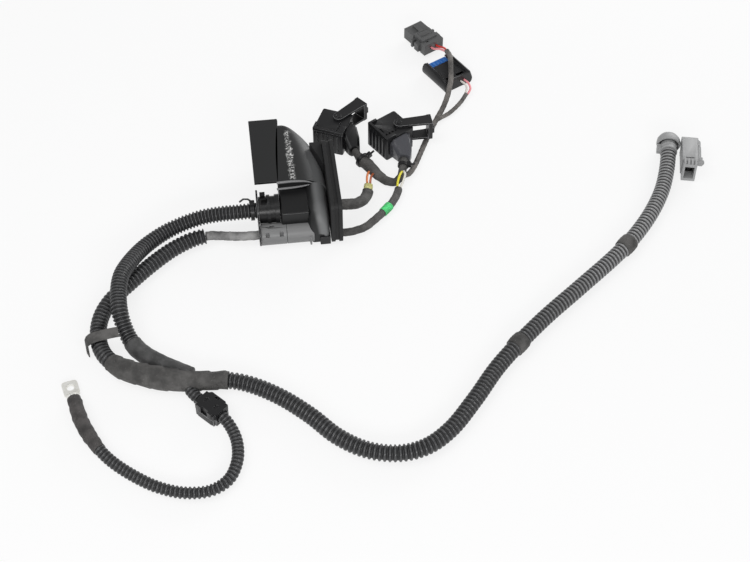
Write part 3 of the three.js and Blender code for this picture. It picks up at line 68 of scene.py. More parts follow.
back = Vector((
    math.sin(AZIMUTH) * math.cos(ELEVATION),
    -math.cos(AZIMUTH) * math.cos(ELEVATION),
    math.sin(ELEVATION),
))
camera_data = bpy.data.cameras.new("camera")
camera_data.lens = LENS
camera_data.sensor_width = SENSOR_WIDTH
camera = bpy.data.objects.new("camera", camera_data)
camera.location = TARGET + back * DISTANCE
camera.rotation_mode = "QUATERNION"
camera.rotation_quaternion = back.to_track_quat("Z", "Y")
bpy.context.collection.objects.link(camera)
bpy.context.scene.camera = camera
print("camera at", [round(c, 3) for c in camera.location])

# %% [markdown]
# ## Shader maths as Python expressions
# Wiring Math nodes one by one hides the formula. A small class wraps a socket and overloads the
# operators, so that a mask reads like arithmetic and the nodes follow from it.


# %% A socket that can be calculated with
class Value:
    """One output socket of a material. Arithmetic on it adds Math nodes."""

    def __init__(self, tree, socket):
        self.tree = tree
        self.socket = socket

    def node(self, kind, settings=None, **inputs):
        """Adds a node, sets its settings first and then its inputs, by name with _ for a space."""
        made = self.tree.nodes.new(kind)
        for name, value in (settings or {}).items():
            if name == "stops":
                ramp = made.color_ramp
                while len(ramp.elements) < len(value):
                    ramp.elements.new(0.5)
                for stop, (place, colour) in zip(ramp.elements, value):
                    stop.position = place
                    stop.color = colour
            else:
                setattr(made, name, value)
        for name, value in inputs.items():
            place = int(name[1:]) if name[1:].isdigit() else name.replace("_", " ")
            slot = made.inputs[place]
            if isinstance(value, Value):
                self.tree.links.new(value.socket, slot)
            else:
                slot.default_value = value
        return made

    def math(self, operation, *others):
        inputs = {"i0": self}
        inputs.update({f"i{number + 1}": other for number, other in enumerate(others)})
        made = self.node("ShaderNodeMath", {"operation": operation}, **inputs)
        return Value(self.tree, made.outputs[0])

    def __add__(self, other):
        return self.math("ADD", other)

    def __mul__(self, other):
        return self.math("MULTIPLY", other)

    def __sub__(self, other):
        return self.math("SUBTRACT", other)

    def __rsub__(self, other):
        return self.math("MULTIPLY", -1.0).math("ADD", other)

    def sine(self):
        return self.math("SINE")

    def clamped(self, low=0.0, high=1.0):
        return self.math("MAXIMUM", low).math("MINIMUM", high)

    def ramp(self, low, high):
        """0 below low and 1 above high, smooth between."""
        made = self.node(
            "ShaderNodeMapRange", {"interpolation_type": "SMOOTHSTEP"},
            Value=self, From_Min=low, From_Max=high,
        )
        return Value(self.tree, made.outputs[0])


class Finish:
    """A material under construction: its Principled shader and the patterns that drive it."""

    def __init__(self, name, colour, roughness, **fixed):
        self.material = bpy.data.materials.new(name)
        self.material.use_nodes = True
        self.tree = self.material.node_tree
        self.shader = self.tree.nodes["Principled BSDF"]
        self.shader.inputs["Base Color"].default_value = (*colour, 1)
        self.shader.inputs["Roughness"].default_value = roughness
        for socket, value in fixed.items():
            self.shader.inputs[socket.replace("_", " ")].default_value = value
        self.start = Value(self.tree, self.shader.outputs[0])

    def place(self, axis=None):
        """The point on the surface in the part's own frame, or one axis of it, in metres."""
        made = self.start.node("ShaderNodeTexCoord")
        point = Value(self.tree, made.outputs["Object"])
        if axis is None:
            return point
        split = self.start.node("ShaderNodeSeparateXYZ", i0=point)
        return Value(self.tree, split.outputs["XYZ".index(axis)])

    def along(self, axis):
        """The piece's own UV map: U runs along a tube and V round it, both in metres."""
        made = self.start.node("ShaderNodeUVMap", {"uv_map": "wrap"})
        split = self.start.node("ShaderNodeSeparateXYZ", i0=Value(self.tree, made.outputs[0]))
        return Value(self.tree, split.outputs["UV".index(axis)])

    def noise(self, scale, detail=3.0, roughness=0.55):
        made = self.start.node(
            "ShaderNodeTexNoise", Vector=self.place(), Scale=scale, Detail=detail, Roughness=roughness,
        )
        return Value(self.tree, made.outputs["Fac"])

    def mix(self, mask, first, second):
        made = self.start.node("ShaderNodeMix", {"data_type": "RGBA"})
        self.tree.links.new(mask.socket, made.inputs["Factor"])
        for slot, value in ((made.inputs[6], first), (made.inputs[7], second)):
            if isinstance(value, Value):
                self.tree.links.new(value.socket, slot)
            else:
                slot.default_value = (*value, 1)
        return Value(self.tree, made.outputs[2])

    def drive(self, socket, value):
        self.tree.links.new(value.socket, self.shader.inputs[socket])

    def bump(self, height, depth):
        made = self.start.node("ShaderNodeBump", Height=height, Distance=depth, Strength=1.0)
        self.tree.links.new(made.outputs[0], self.shader.inputs["Normal"])


print("the socket class is ready")

# %% [markdown]
# ## Finishes
# The mouldings are polyamide, from black to grey. The black ones are lit mostly by what they
# reflect, so roughness matters more than colour. Faint noise in it breaks up the highlights.


# %% Moulded plastics and rubber
def moulding(name, colour, roughness, grain=900.0, depth=0.00003):
    """Satin plastic: roughness = base + 0.14 * (noise - 0.5), with a fine moulded grain."""
    finish = Finish(name, colour, roughness, Specular_IOR_Level=0.4)
    cloud = finish.noise(45.0)
    finish.drive("Roughness", (cloud - 0.5) * 0.14 + roughness)
    finish.bump(finish.noise(grain, 1.0), depth)
    return finish.material


BLACK_MOULDING = moulding("black_moulding", (0.0085, 0.0085, 0.0095), 0.36)
CLAMP_BLACK = moulding("clamp_black", (0.006, 0.006, 0.0065), 0.34)
GREY_MOULDING = moulding("grey_moulding", (0.085, 0.086, 0.087), 0.4)
CLAMP_GREY = moulding("clamp_grey", (0.19, 0.191, 0.192), 0.42)
COVER_GREY = moulding("cover_grey", (0.07, 0.071, 0.08), 0.27)
PALE_MOULDING = moulding("pale_moulding", (0.33, 0.333, 0.335), 0.44)
RUBBER = moulding("seal_rubber", (0.0075, 0.0075, 0.008), 0.6)
BLUE_MOULDING = moulding("blue_moulding", (0.03, 0.16, 0.5), 0.42)
# Near-black and matt for the contact inserts; in the hood's slit and the end connector's gap it is painted
# shade.
INSERT_BLACK_AND_SHADE = moulding("insert_black_and_painted_shade", (0.005, 0.005, 0.0055), 0.6)
# A paler edge material: a painted highlight along bevels and lips.
EDGE_HIGHLIGHT = moulding("painted_edge_highlight", (0.2, 0.2, 0.205), 0.35)
print("plastics:", BLACK_MOULDING.name, GREY_MOULDING.name, RUBBER.name, BLUE_MOULDING.name)

# %% [markdown]
# The hood is rubbed along the bend of its roof. The wear is a ragged line of pale specks. A
# painted image would be one way, but a mask from two noises inside a band keeps the grain sharp.


# %% The hood's plastic with its scuffed line and painted shoulder highlight
HOOD_TONE = (0.012, 0.0125, 0.013)
# The shoulder tone is a painted highlight on the hood's rounded side.
SHOULDER_HIGHLIGHT_TONE = (0.165, 0.168, 0.17)
SCUFF_TONE = (0.7, 0.7, 0.69)
HOOD_ROUGHNESS = 0.45


def hood_plastic():
    """Specks = fine noise above a limit in a band on the roof; V on the UV map paints a highlight on the
    shoulder.
    """
    finish = Finish("hood_plastic", HOOD_TONE, HOOD_ROUGHNESS, Specular_IOR_Level=0.4)
    x, y, z = finish.place("X"), finish.place("Y"), finish.place("Z")
    centre = y * -0.01 - 0.0036
    off_line = (x - centre).math("ABSOLUTE")
    ragged = (finish.noise(150.0, 3.0) - 0.5) * 0.009
    band = 1 - (off_line + ragged).ramp(0.0014, 0.0046)
    reach = y.ramp(-0.024, -0.02) * (1 - y.ramp(0.055, 0.062)) * z.ramp(0.046, 0.048)
    specks = finish.noise(430.0, 6.0, 0.85).ramp(0.5, 0.54)
    worn = (band * reach * specks).clamped()
    cloud = finish.noise(30.0)
    round_side = finish.along("V")
    # Painted highlight: paler on the rounded shoulder, fading part way back towards the foot.
    shoulder = round_side.ramp(0.18, 0.62) * (1 - round_side.ramp(0.9, 1.25) * 0.55)
    plain = finish.mix(shoulder, HOOD_TONE, SHOULDER_HIGHLIGHT_TONE)
    finish.drive("Roughness", (cloud - 0.5) * 0.1 + HOOD_ROUGHNESS + worn * 0.3)
    finish.drive("Base Color", finish.mix(worn, plain, SCUFF_TONE))
    finish.bump(finish.noise(1100.0, 1.0) + worn * 2.0, 0.00003)
    return finish.material


HOOD_PLASTIC = hood_plastic()
print("hood finish:", HOOD_PLASTIC.name)

# %% [markdown]
# Conduit is thin extruded polyamide with a waxy shine. Its crests are smoother than the grooves,
# with a painted highlight on them and painted shade in the grooves. The UV map gives the rib's phase,
# and the far end is painted paler altogether, a painted pool of light.


# %% Corrugated conduit
def conduit_plastic(name, pitch):
    """Crest mask = cosine of 2 pi U / pitch; crests get a painted highlight, grooves painted shade, and the
    far end painted light.
    """
    finish = Finish(name, (0.026, 0.027, 0.029), 0.34)
    phase = finish.along("U") * (2 * math.pi / pitch)
    crest = ((phase + math.pi / 2).sine() * 0.5 + 0.5).ramp(0.35, 0.85)
    cloud = finish.noise(35.0)
    # Painted light: the far end is paler, a pool of light painted on the conduit.
    far = finish.place("X").ramp(0.16, 0.42)
    # Painted highlight on the crests and painted shade in the grooves.
    near_tone = finish.mix(crest, (0.011, 0.011, 0.012), (0.05, 0.051, 0.053))
    far_lit_tone = finish.mix(crest, (0.035, 0.034, 0.035), (0.27, 0.272, 0.275))
    finish.drive("Base Color", finish.mix(far, near_tone, far_lit_tone))
    finish.drive("Roughness", (1 - crest) * 0.25 + cloud * 0.12 + 0.22)
    return finish.material


WIDE_PITCH = 5.0 * MM
FEED_PITCH = 4.1 * MM
THIN_PITCH = 4.6 * MM
WIDE_CONDUIT = conduit_plastic("wide_conduit", WIDE_PITCH)
FEED_CONDUIT = conduit_plastic("feed_conduit_plastic", FEED_PITCH)
THIN_CONDUIT = conduit_plastic("thin_conduit", THIN_PITCH)
print("conduit pitches in mm:", WIDE_PITCH / MM, FEED_PITCH / MM, THIN_PITCH / MM)

# %% [markdown]
# Harness tape is woven cloth with a dull sheen. Its weave is far below a pixel in the main view
# but shows in close views: two crossed sine waves on the UV map raise the threads.


# %% Cloth tape
def cloth_tape(name, colour, roughness=0.72):
    """Threads = sin(U) * sin(V), over a cloudy tone with pale specks of lint."""
    finish = Finish(name, colour, roughness)
    u, v = finish.along("U"), finish.along("V")
    thread = (u * (2 * math.pi / (0.7 * MM))).sine() * (v * (2 * math.pi / (0.55 * MM))).sine()
    cloud = finish.noise(60.0, 4.0)
    lint = finish.noise(900.0, 2.0).ramp(0.69, 0.74)
    lighter = tuple(min(1.0, c * 1.7) for c in colour)
    darker = tuple(c * 0.6 for c in colour)
    tone = finish.mix(cloud.ramp(0.3, 0.7), darker, lighter)
    finish.drive("Base Color", finish.mix(lint * 0.6, tone, (0.35, 0.34, 0.33)))
    finish.drive("Roughness", (cloud - 0.5) * 0.2 + roughness)
    finish.bump(thread + cloud * 2.0, 0.00006)
    return finish.material


TAPE = cloth_tape("cloth_tape", (0.068, 0.066, 0.064))
DARK_TAPE = cloth_tape("dark_tape", (0.048, 0.044, 0.043), 0.6)
SLEEVE_TAPE = cloth_tape("sleeve_tape", (0.048, 0.048, 0.048), 0.5)
PALE_TAPE = cloth_tape("pale_tape", (0.2, 0.198, 0.196))
CABLE_TAPE = cloth_tape("cable_tape", (0.115, 0.107, 0.1))
GREEN_TAPE = cloth_tape("green_tape", (0.06, 0.5, 0.15), 0.45)
YELLOW_TAPE = cloth_tape("yellow_tape", (0.9, 0.84, 0.3), 0.5)
print("tapes:", TAPE.name, DARK_TAPE.name, GREEN_TAPE.name)

# %% [markdown]
# Wire insulation is smooth, glossy and brightly coloured. The terminal is tin-plated copper:
# a pale metal, slightly rough, with a cloudy patina.

# %% Wires and the terminal's tin
def insulation(name, colour):
    finish = Finish(name, colour, 0.35)
    cloud = finish.noise(120.0)
    finish.drive("Roughness", (cloud - 0.5) * 0.2 + 0.35)
    return finish.material


ORANGE = insulation("orange_insulation", (0.8, 0.24, 0.07))
BROWN = insulation("brown_insulation", (0.42, 0.1, 0.03))
YELLOW = insulation("yellow_insulation", (0.8, 0.72, 0.05))
WHITE = insulation("white_insulation", (0.75, 0.73, 0.68))
RED = insulation("red_insulation", (0.72, 0.06, 0.05))
PINK = insulation("pink_insulation", (0.85, 0.3, 0.33))


def tin_plate():
    finish = Finish("tin_plate", (0.9, 0.89, 0.85), 0.5, Metallic=0.75)
    cloud = finish.noise(160.0, 4.0)
    finish.drive("Roughness", (cloud - 0.5) * 0.3 + 0.5)
    finish.drive("Base Color", finish.mix(cloud.ramp(0.3, 0.7), (0.95, 0.945, 0.91), (0.84, 0.83, 0.78)))
    return finish.material


TIN = tin_plate()
print("wire colours:", ORANGE.name, YELLOW.name, RED.name, "and metal:", TIN.name)

# %% [markdown]
# ## Routes
# Each cord follows a given list of points. A centripetal Catmull-Rom curve goes through
# them without overshoot, and it is read off at even steps of length.


# %% Smooth routes and their lengths
def route(points, step=0.5 * MM):
    """Centripetal Catmull-Rom through points in mm, sampled evenly; returns metres."""
    p = np.array(points, float) * MM
    p = np.vstack([2 * p[0] - p[1], p, 2 * p[-1] - p[-2]])
    gap = np.linalg.norm(np.diff(p, axis=0), axis=1) ** 0.5
    p0, p1, p2, p3 = p[:-3], p[1:-2], p[2:-1], p[3:]
    d0, d1, d2 = (g[:, None] for g in (gap[:-2], gap[1:-1], gap[2:]))
    m1 = ((p1 - p0) / d0 - (p2 - p0) / (d0 + d1) + (p2 - p1) / d1) * d1
    m2 = ((p2 - p1) / d1 - (p3 - p1) / (d1 + d2) + (p3 - p2) / d2) * d1
    t = np.linspace(0, 1, 80, endpoint=False)[None, :, None]
    a, b, c, d = (q[:, None, :] for q in (p1, m1, -3 * p1 + 3 * p2 - 2 * m1 - m2, 2 * p1 - 2 * p2 + m1 + m2))
    fine = (a + b * t + c * t ** 2 + d * t ** 3).reshape(-1, 3)
    fine = np.vstack([fine, p[-2]])
    length = np.concatenate([[0], np.cumsum(np.linalg.norm(np.diff(fine, axis=0), axis=1))])
    even = np.linspace(0, length[-1], max(2, int(round(length[-1] / step)) + 1))
    return np.stack([np.interp(even, length, fine[:, k]) for k in range(3)], axis=1)


def length_of(line):
    return float(np.linalg.norm(np.diff(line, axis=0), axis=1).sum())


def part_of(line, start, end, step=0.5 * MM):
    """The stretch of an even line between two lengths in mm."""
    total = length_of(line)
    here = np.linspace(start * MM, min(end * MM, total), max(3, int((end - start) * MM / step)))
    along = np.linspace(0, total, len(line))
    return np.stack([np.interp(here, along, line[:, k]) for k in range(3)], axis=1)


FEED = route([
    (-40.5, -45, 29), (-60, -45, 29), (-72, -45, 28.7), (-88, -44, 27.5), (-113, -45, 25), (-148, -55, 20),
    (-177, -77, 19), (-199, -117, 27.8), (-204, -134, 29.6), (-206, -154, 28.6), (-205, -177, 26),
    (-201, -194, 18), (-196, -206, 12.5), (-189, -218, 10.3), (-176, -232, 10.3), (-157, -247, 10.3),
    (-134, -262, 11),
])
TRUNK = route([
    (-109, -60, 10), (-122, -62.5, 9.4), (-145, -75, 9.4), (-167, -93, 9.4), (-195, -121, 9.4),
    (-217, -146, 9.4), (-228, -171, 9.4), (-230, -200, 9.4), (-223, -224, 10.5), (-205, -245, 12.5),
    (-175, -260, 13), (-145, -268, 12), (-112, -271, 10), (-95, -272, 9.4), (-73, -280, 9.4),
    (-43, -300, 9.4), (-14, -328, 9.4), (12, -359, 9.4), (40, -379, 9.4), (72, -387, 9.4),
    (100, -382, 9.4), (127, -364, 9.4), (158, -329, 9.4), (192, -286, 9.4), (246, -233, 9.4),
    (300, -188, 9.4), (349, -147, 9.4), (375, -122, 9.4), (404, -87, 9.4), (427, -50, 9.4),
    (441, -17, 10.5), (449, 8, 12),
])
ADAPTOR_CABLE = route([
    (-40.5, -68, 12.5), (-58, -68, 12.5), (-72, -66, 11.5), (-88, -61, 9), (-100, -59, 9),
    (-107.6, -59.8, 10),
])
TERMINAL = route([
    (-138, -262, 10), (-136, -277, 8.5), (-130, -288.5, 9.2), (-124, -296, 9.2), (-114, -307, 9.2),
    (-104, -318, 9.2), (-96, -332, 7.5), (-91, -350, 6.6), (-92, -374, 6.6), (-102, -396, 6.6),
    (-120, -407, 6.6), (-145, -407, 6.6), (-172, -397, 6.6), (-200, -377, 6.6), (-223, -354, 7.2),
    (-238, -330, 8.2), (-249, -304, 8.2), (-256, -276, 8.2),
])
BRANCH_ONE = route([
    (40.5, -42, 24), (50, -42, 24), (58, -41.2, 22.6), (67, -37, 18.5), (75.5, -29, 14), (81.2, -20.5, 12.2),
    (84.2, -12, 14), (85.6, -6, 17),
])
BRANCH_TWO = route([
    (40.5, -71, 8.5), (57, -71, 7.7), (75, -63, 5.4), (93, -47, 5), (108, -31, 5), (117, -17, 5),
    (121, -6, 5),
])
LINK = route([
    (76.3, 57.6, 12), (80.8, 46.3, 12.3), (87.2, 36.4, 11.2), (94.6, 26, 9), (102, 15.8, 6.6),
    (110, 8.2, 5.5), (118.5, 6.3, 5.2), (125.5, 11.5, 6.5), (129, 19, 9.5), (131.4, 28.5, 12),
    (134.4, 40.9, 12),
])
TALL = route([
    (131, 14.5, 6.5), (137, 18.5, 5), (144, 29, 4), (151, 43, 3.7), (163, 69, 3.7), (174, 92, 3.7),
    (184, 111, 3.7), (195, 129, 6.4), (202, 141, 14), (206, 151, 19.8), (209, 161, 22.6), (212, 181, 22.8),
    (214.5, 204, 22.8), (212.5, 217, 21.4),
])
SHORT = route([
    (184, 109.5, 3.4), (190, 113.8, 3), (199, 119, 3), (210, 129, 3), (220, 141, 3), (227.5, 152, 4),
])
print("trunk in mm:", round(length_of(TRUNK) / MM), "feed:", round(length_of(FEED) / MM),
      "terminal:", round(length_of(TERMINAL) / MM))

# %% [markdown]
# ## Tubes
# Every soft part is a ring carried along a route. As no cord here stands upright, the ring's
# frame comes from the tangent and the world's up, which keeps patterns from twisting.


# %% A ring carried along a path
def mesh_from_grid(name, grid, material, closed_round=True, uv=None, ends=True):
    """Quads between rows of points; the ends are closed with a fan to their middle."""
    rows, columns = grid.shape[:2]
    vertices = grid.reshape(-1, 3)
    index = np.arange(rows * columns).reshape(rows, columns)
    right = np.roll(index, -1, axis=1) if closed_round else index[:, 1:]
    left = index if closed_round else index[:, :-1]
    quads = np.stack([left[:-1], right[:-1], right[1:], left[1:]], axis=-1).reshape(-1, 4)
    faces = quads.tolist()
    if ends:
        vertices = np.vstack([vertices, grid[0].mean(axis=0), grid[-1].mean(axis=0)])
        first, last = rows * columns, rows * columns + 1
        faces += [[first, int(b), int(a)] for a, b in zip(left[0], right[0])]
        faces += [[last, int(a), int(b)] for a, b in zip(left[-1], right[-1])]
    mesh = bpy.data.meshes.new(name)
    mesh.from_pydata(vertices.tolist(), [], faces)
    mesh.polygons.foreach_set("use_smooth", np.ones(len(mesh.polygons), bool))
    if uv is not None:
        spots = uv.reshape(-1, 2)
        if ends:
            spots = np.vstack([spots, spots[0], spots[-1]])
        layer = mesh.uv_layers.new(name="wrap")
        corner = np.empty(len(mesh.loops), int)
        mesh.loops.foreach_get("vertex_index", corner)
        layer.data.foreach_set("uv", spots[corner].ravel())
    mesh.materials.append(material)
    made = bpy.data.objects.new(name, mesh)
    bpy.context.collection.objects.link(made)
    return made


def rings(line, radii, sides):
    """Ring points: centre + r (cos a * side + sin a * up), r per ring or per point."""
    tangent = np.gradient(line, axis=0)
    tangent /= np.linalg.norm(tangent, axis=1)[:, None]
    side = np.cross(tangent, (0.0, 0.0, 1.0))
    side /= np.linalg.norm(side, axis=1)[:, None]
    up = np.cross(side, tangent)
    angle = np.linspace(0, 2 * np.pi, sides, endpoint=False)
    radii = np.asarray(radii, float)
    if radii.ndim < 2:
        radii = np.broadcast_to(radii.reshape(-1, 1), (len(line), sides))
    return (
        line[:, None, :]
        + (radii * np.cos(angle))[..., None] * side[:, None, :]
        + (radii * np.sin(angle))[..., None] * up[:, None, :]
    )


def tube(name, line, radii, material, sides=32):
    """A closed tube with a UV map in metres, along and round."""
    grid = rings(line, radii, sides)
    along = np.linspace(0, length_of(line), len(line))
    mean = float(np.mean(radii))
    round_it = np.arange(sides) * 2 * np.pi * mean / sides
    uv = np.stack(np.meshgrid(along, round_it, indexing="ij"), axis=-1)
    return mesh_from_grid(name, grid, material, uv=uv)


print("tube maker ready")

# %% [markdown]
# ## Corrugated conduits
# Ribs could be a bump map, but they show on the outline too, so they are real: the radius is a
# rounded square wave of the length along the route.


# %% The four conduits
STEPS_PER_RIB = 9


def ribbed(name, line, diameter, pitch, depth, material, sides=36):
    """r = R - depth * (1 - w) / 2, with w = tanh(2.2 cos(2 pi s / pitch)) / tanh(2.2)."""
    steps = int(length_of(line) / pitch * STEPS_PER_RIB)
    line = part_of(line, 0, length_of(line) / MM, length_of(line) / steps)
    along = np.linspace(0, length_of(line), len(line))
    wave = np.tanh(2.2 * np.cos(2 * np.pi * along / pitch)) / np.tanh(2.2)
    radii = (diameter / 2 - depth * (1 - wave) / 2) * MM
    made = tube(name, line, radii, material, sides)
    print(name, "length mm", round(length_of(line) / MM, 1), "faces", len(made.data.polygons))
    return made, line


# Places along the routes, in mm from their starts
RETURN_END = 237
TAPE_END = 364
FEED_END = 293
THIN_START = 10
SLEEVE_START = 306
TRUNK_LENGTH = length_of(TRUNK) / MM

WIDE, WIDE_RIB = 18.4, 2.0
THIN, THIN_RIB = 12.9, 1.6

feed, feed_line = ribbed(
    "feed_conduit_ribbed", part_of(FEED, 0, FEED_END), WIDE, FEED_PITCH, WIDE_RIB, FEED_CONDUIT)
back_run, return_line = ribbed(
    "return_conduit_ribbed", part_of(TRUNK, 0, RETURN_END), WIDE, WIDE_PITCH, WIDE_RIB, WIDE_CONDUIT)
long_run, long_line = ribbed(
    "long_conduit_ribbed", part_of(TRUNK, TAPE_END, TRUNK_LENGTH), WIDE, WIDE_PITCH, WIDE_RIB,
    WIDE_CONDUIT, 32)
thin_run, thin_line = ribbed(
    "terminal_conduit_ribbed", part_of(TERMINAL, THIN_START, SLEEVE_START), THIN, THIN_PITCH, THIN_RIB,
    THIN_CONDUIT, 28)

# %% [markdown]
# ## Tape
# Cloth tape goes round in overlapping turns. Each turn's edge is a small step, so the radius is
# a saw-tooth of the length plus the angle, which makes the step run round as a helix.


# %% Taped stretches
def taped(name, line, radii, material, turn=12.0, lift=0.45, sides=44, wobble=0.2, seed=1):
    """r = R(s) + lift * fraction(s / turn + a / 2 pi) + slow waves."""
    line = part_of(line, 0, length_of(line) / MM, 0.7 * MM)
    along = np.linspace(0, 1, len(line))
    base = np.interp(along, np.linspace(0, 1, len(radii)), radii)
    total = length_of(line) / MM
    angle = np.linspace(0, 2 * np.pi, sides, endpoint=False)
    phase = along[:, None] * total / turn + angle[None, :] / (2 * np.pi)
    tooth = phase % 1.0
    tooth = np.where(tooth < 0.9, tooth / 0.9, (1 - tooth) / 0.1)
    chance = np.random.default_rng(seed)
    slow = sum(
        chance.uniform(-1, 1)
        * np.sin(k * np.pi * along[:, None] * 3 + m * angle[None, :] + chance.uniform(0, 6))
        for k, m in ((1, 1), (2, 2), (3, 1), (5, 2))
    )
    radius = (base[:, None] + lift * (tooth - 0.6) + wobble * slow / 2) * MM
    made = tube(name, line, radius, material, sides)
    return made, line


JOINT_RADII = [10, 11.7, 12.3, 12.7, 12.1, 11, 10, 10]
LINK_RADIUS, LINK_SWELL = 4.75, 2.75
LINK_SHARES = (0, 0, 0.9, 1, 0.8, 0.55, 0.3, 0.12, 0, 0, 0, 0, 0)
LINK_RADII = [LINK_RADIUS + LINK_SWELL * share for share in LINK_SHARES]
COLLAR_RADII = [10.3, 10.8, 10.7, 10.3]
NEAR_COLLAR, FAR_COLLAR, HALF_COLLAR = 773, 969, 7.5
BAND_LENGTH = 7.7
GREEN_START, GREEN_END = 68, 81
branch_one_mm = length_of(BRANCH_ONE) / MM


def collar(name, middle):
    around = part_of(TRUNK, middle - HALF_COLLAR, middle + HALF_COLLAR)
    return taped(name, around, COLLAR_RADII, TAPE, turn=30, lift=0.4)[0]


joint, _ = taped(
    "tape_joint_wrapped", part_of(TRUNK, RETURN_END - 2, TAPE_END + 2), JOINT_RADII, TAPE, turn=17, lift=0.9,
    wobble=0.35, seed=4)
sleeve, _ = taped(
    "split_sleeve_wrapped", part_of(FEED, FEED_END, length_of(FEED) / MM), [9.9, 9.9, 9.7], SLEEVE_TAPE,
    turn=40, lift=0.2, wobble=0.3, seed=2)
collar_near = collar("tape_collar_near_wrapped", NEAR_COLLAR)
collar_far = collar("tape_collar_far_wrapped", FAR_COLLAR)
adaptor_cable, adaptor_line = taped(
    "adaptor_cable_wrapped", ADAPTOR_CABLE, [5.2, 5.2], PALE_TAPE, turn=11, lift=0.35)
terminal_sleeve, _ = taped(
    "terminal_sleeve_wrapped", part_of(TERMINAL, SLEEVE_START, length_of(TERMINAL) / MM),
    [6.7, 7.5, 7.9, 7.9, 7.7, 7.4], DARK_TAPE, turn=14, lift=0.5, wobble=0.4, seed=7)
branch_one, _ = taped(
    "branch_one_wrapped", part_of(BRANCH_ONE, 0, branch_one_mm - BAND_LENGTH - 0.3), [6.4, 6.4, 6.5], TAPE,
    turn=15, lift=0.4, seed=3)
branch_two, branch_two_line = taped(
    "branch_two_wrapped", BRANCH_TWO, [4.6, 4.6, 4.7], TAPE, turn=11, lift=0.35, seed=5)
link, link_line = taped("link_bundle_wrapped", LINK, LINK_RADII, TAPE, turn=12, lift=0.4, seed=6)
tall, tall_line = taped(
    "tall_branch_wrapped", TALL, [3.3, 3.3], CABLE_TAPE, turn=8, lift=0.3, sides=32, wobble=0.1)
short, short_line = taped(
    "short_branch_wrapped", SHORT, [2.6, 2.6], CABLE_TAPE, turn=7, lift=0.25, sides=28, wobble=0.1)
yellow_band, _ = taped(
    "yellow_band_wrapped", part_of(BRANCH_ONE, branch_one_mm - BAND_LENGTH, branch_one_mm),
    [5.4, 5.4, 4.9], YELLOW_TAPE, turn=20, lift=0.2, wobble=0.15)
green_band, _ = taped(
    "green_band_wrapped", part_of(BRANCH_TWO, GREEN_START, GREEN_END), [5.4, 5.55, 5.5], GREEN_TAPE, turn=30,
    lift=0.2, wobble=0.1)
print("taped pieces done")

# %% [markdown]
# ## Wires
# Wires leave each taped end and run to a connector. They are plain tubes with the colours
# that the photograph shows.

# %% Coloured wires
def wire(name, points, material, diameter=2.7):
    line = route(points)
    return tube(name, line, diameter / 2 * MM, material, 16), line


orange_wire, orange_line = wire(
    "orange_wire", [(84.1, -4.8, 18.1), (84.8, 3, 18.4), (86.4, 11, 16.5), (89, 18.8, 13.2)], ORANGE)
brown_wire, _ = wire(
    "brown_wire", [(87.6, -5.4, 17.4), (89, 2, 17.2), (91, 10, 14.6), (93.7, 16.6, 11.2)], BROWN)
yellow_wire, _ = wire(
    "yellow_wire", [(119.8, -4.5, 6.3), (121.6, 2, 11.2), (125, 9.5, 13.6), (128.6, 16.4, 11.8)], YELLOW)
white_wire, _ = wire(
    "white_wire", [(123, -5.7, 4.9), (127.6, 2, 9), (131, 9.5, 13), (129.9, 18, 11.6)], WHITE)
red_end, _ = wire(
    "three_way_red", [(213.4, 217.9, 20.9), (210.4, 229, 17), (204.8, 239.2, 11.8), (201.2, 245.7, 11)], RED)
pink_end, _ = wire(
    "three_way_pink", [(210.4, 217.6, 21), (205.2, 227, 17), (198.3, 235.2, 11.8), (194.1, 241.9, 11)], PINK)
white_end, _ = wire("socket_white", [
    (226.6, 153.3, 4.6), (229.6, 160, 6.4), (228.4, 165.6, 8.4), (224.1, 171.5, 9), (222, 175.5, 9),
], WHITE)
pink_socket, _ = wire("socket_pink", [
    (229.4, 151.5, 4.2), (234, 159.5, 6), (232.8, 167.2, 8.2), (228.5, 173.8, 9), (226.4, 177.8, 9),
], PINK)
print("eight wires; the orange one is", round(length_of(orange_line) / MM, 1), "mm")

# %% [markdown]
# ## Hard parts
# The CAD solids have knife edges, and real mouldings never do. A merged copy of each solid with
# a narrow bevel catches the light along its edges, and stands for the CAD node. On the black
# connectors the bevel has a paler material, a painted highlight along the edges.


# %% Dressed copies of the CAD solids
EDGE_ANGLE = math.radians(38)


def soften(made, material, bevel, edge_material=None, segments=2):
    """Rounds edges past EDGE_ANGLE and shades the rest smooth; the rounding may get a paler material, a
    painted highlight.
    """
    mesh = made.data
    mesh.materials.clear()
    mesh.materials.append(material)
    mesh.polygons.foreach_set("use_smooth", np.ones(len(mesh.polygons), bool))
    mesh.set_sharp_from_angle(angle=EDGE_ANGLE)
    if bevel:
        edge = made.modifiers.new("edges", "BEVEL")
        edge.width = bevel * MM
        edge.segments = segments
        edge.limit_method = "ANGLE"
        edge.angle_limit = EDGE_ANGLE
        edge.harden_normals = True
        edge.use_clamp_overlap = True
        if edge_material is not None:
            mesh.materials.append(edge_material)
            edge.material = 1
    return made


def dressed(node, material, bevel=0.35, edge_material=None):
    """The node's own shape with rounded edges."""
    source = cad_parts[node]
    mesh = source.data.copy()
    mesh.name = node + "_dressed"
    made = bpy.data.objects.new(node + "_dressed", mesh)
    bpy.context.collection.objects.link(made)
    mesh.transform(source.matrix_world)
    work = bmesh.new()
    work.from_mesh(mesh)
    bmesh.ops.remove_doubles(work, verts=work.verts, dist=0.00002)
    bmesh.ops.dissolve_limit(work, angle_limit=math.radians(1.0), verts=work.verts, edges=work.edges)
    work.to_mesh(mesh)
    work.free()
    return soften(made, material, bevel, edge_material)


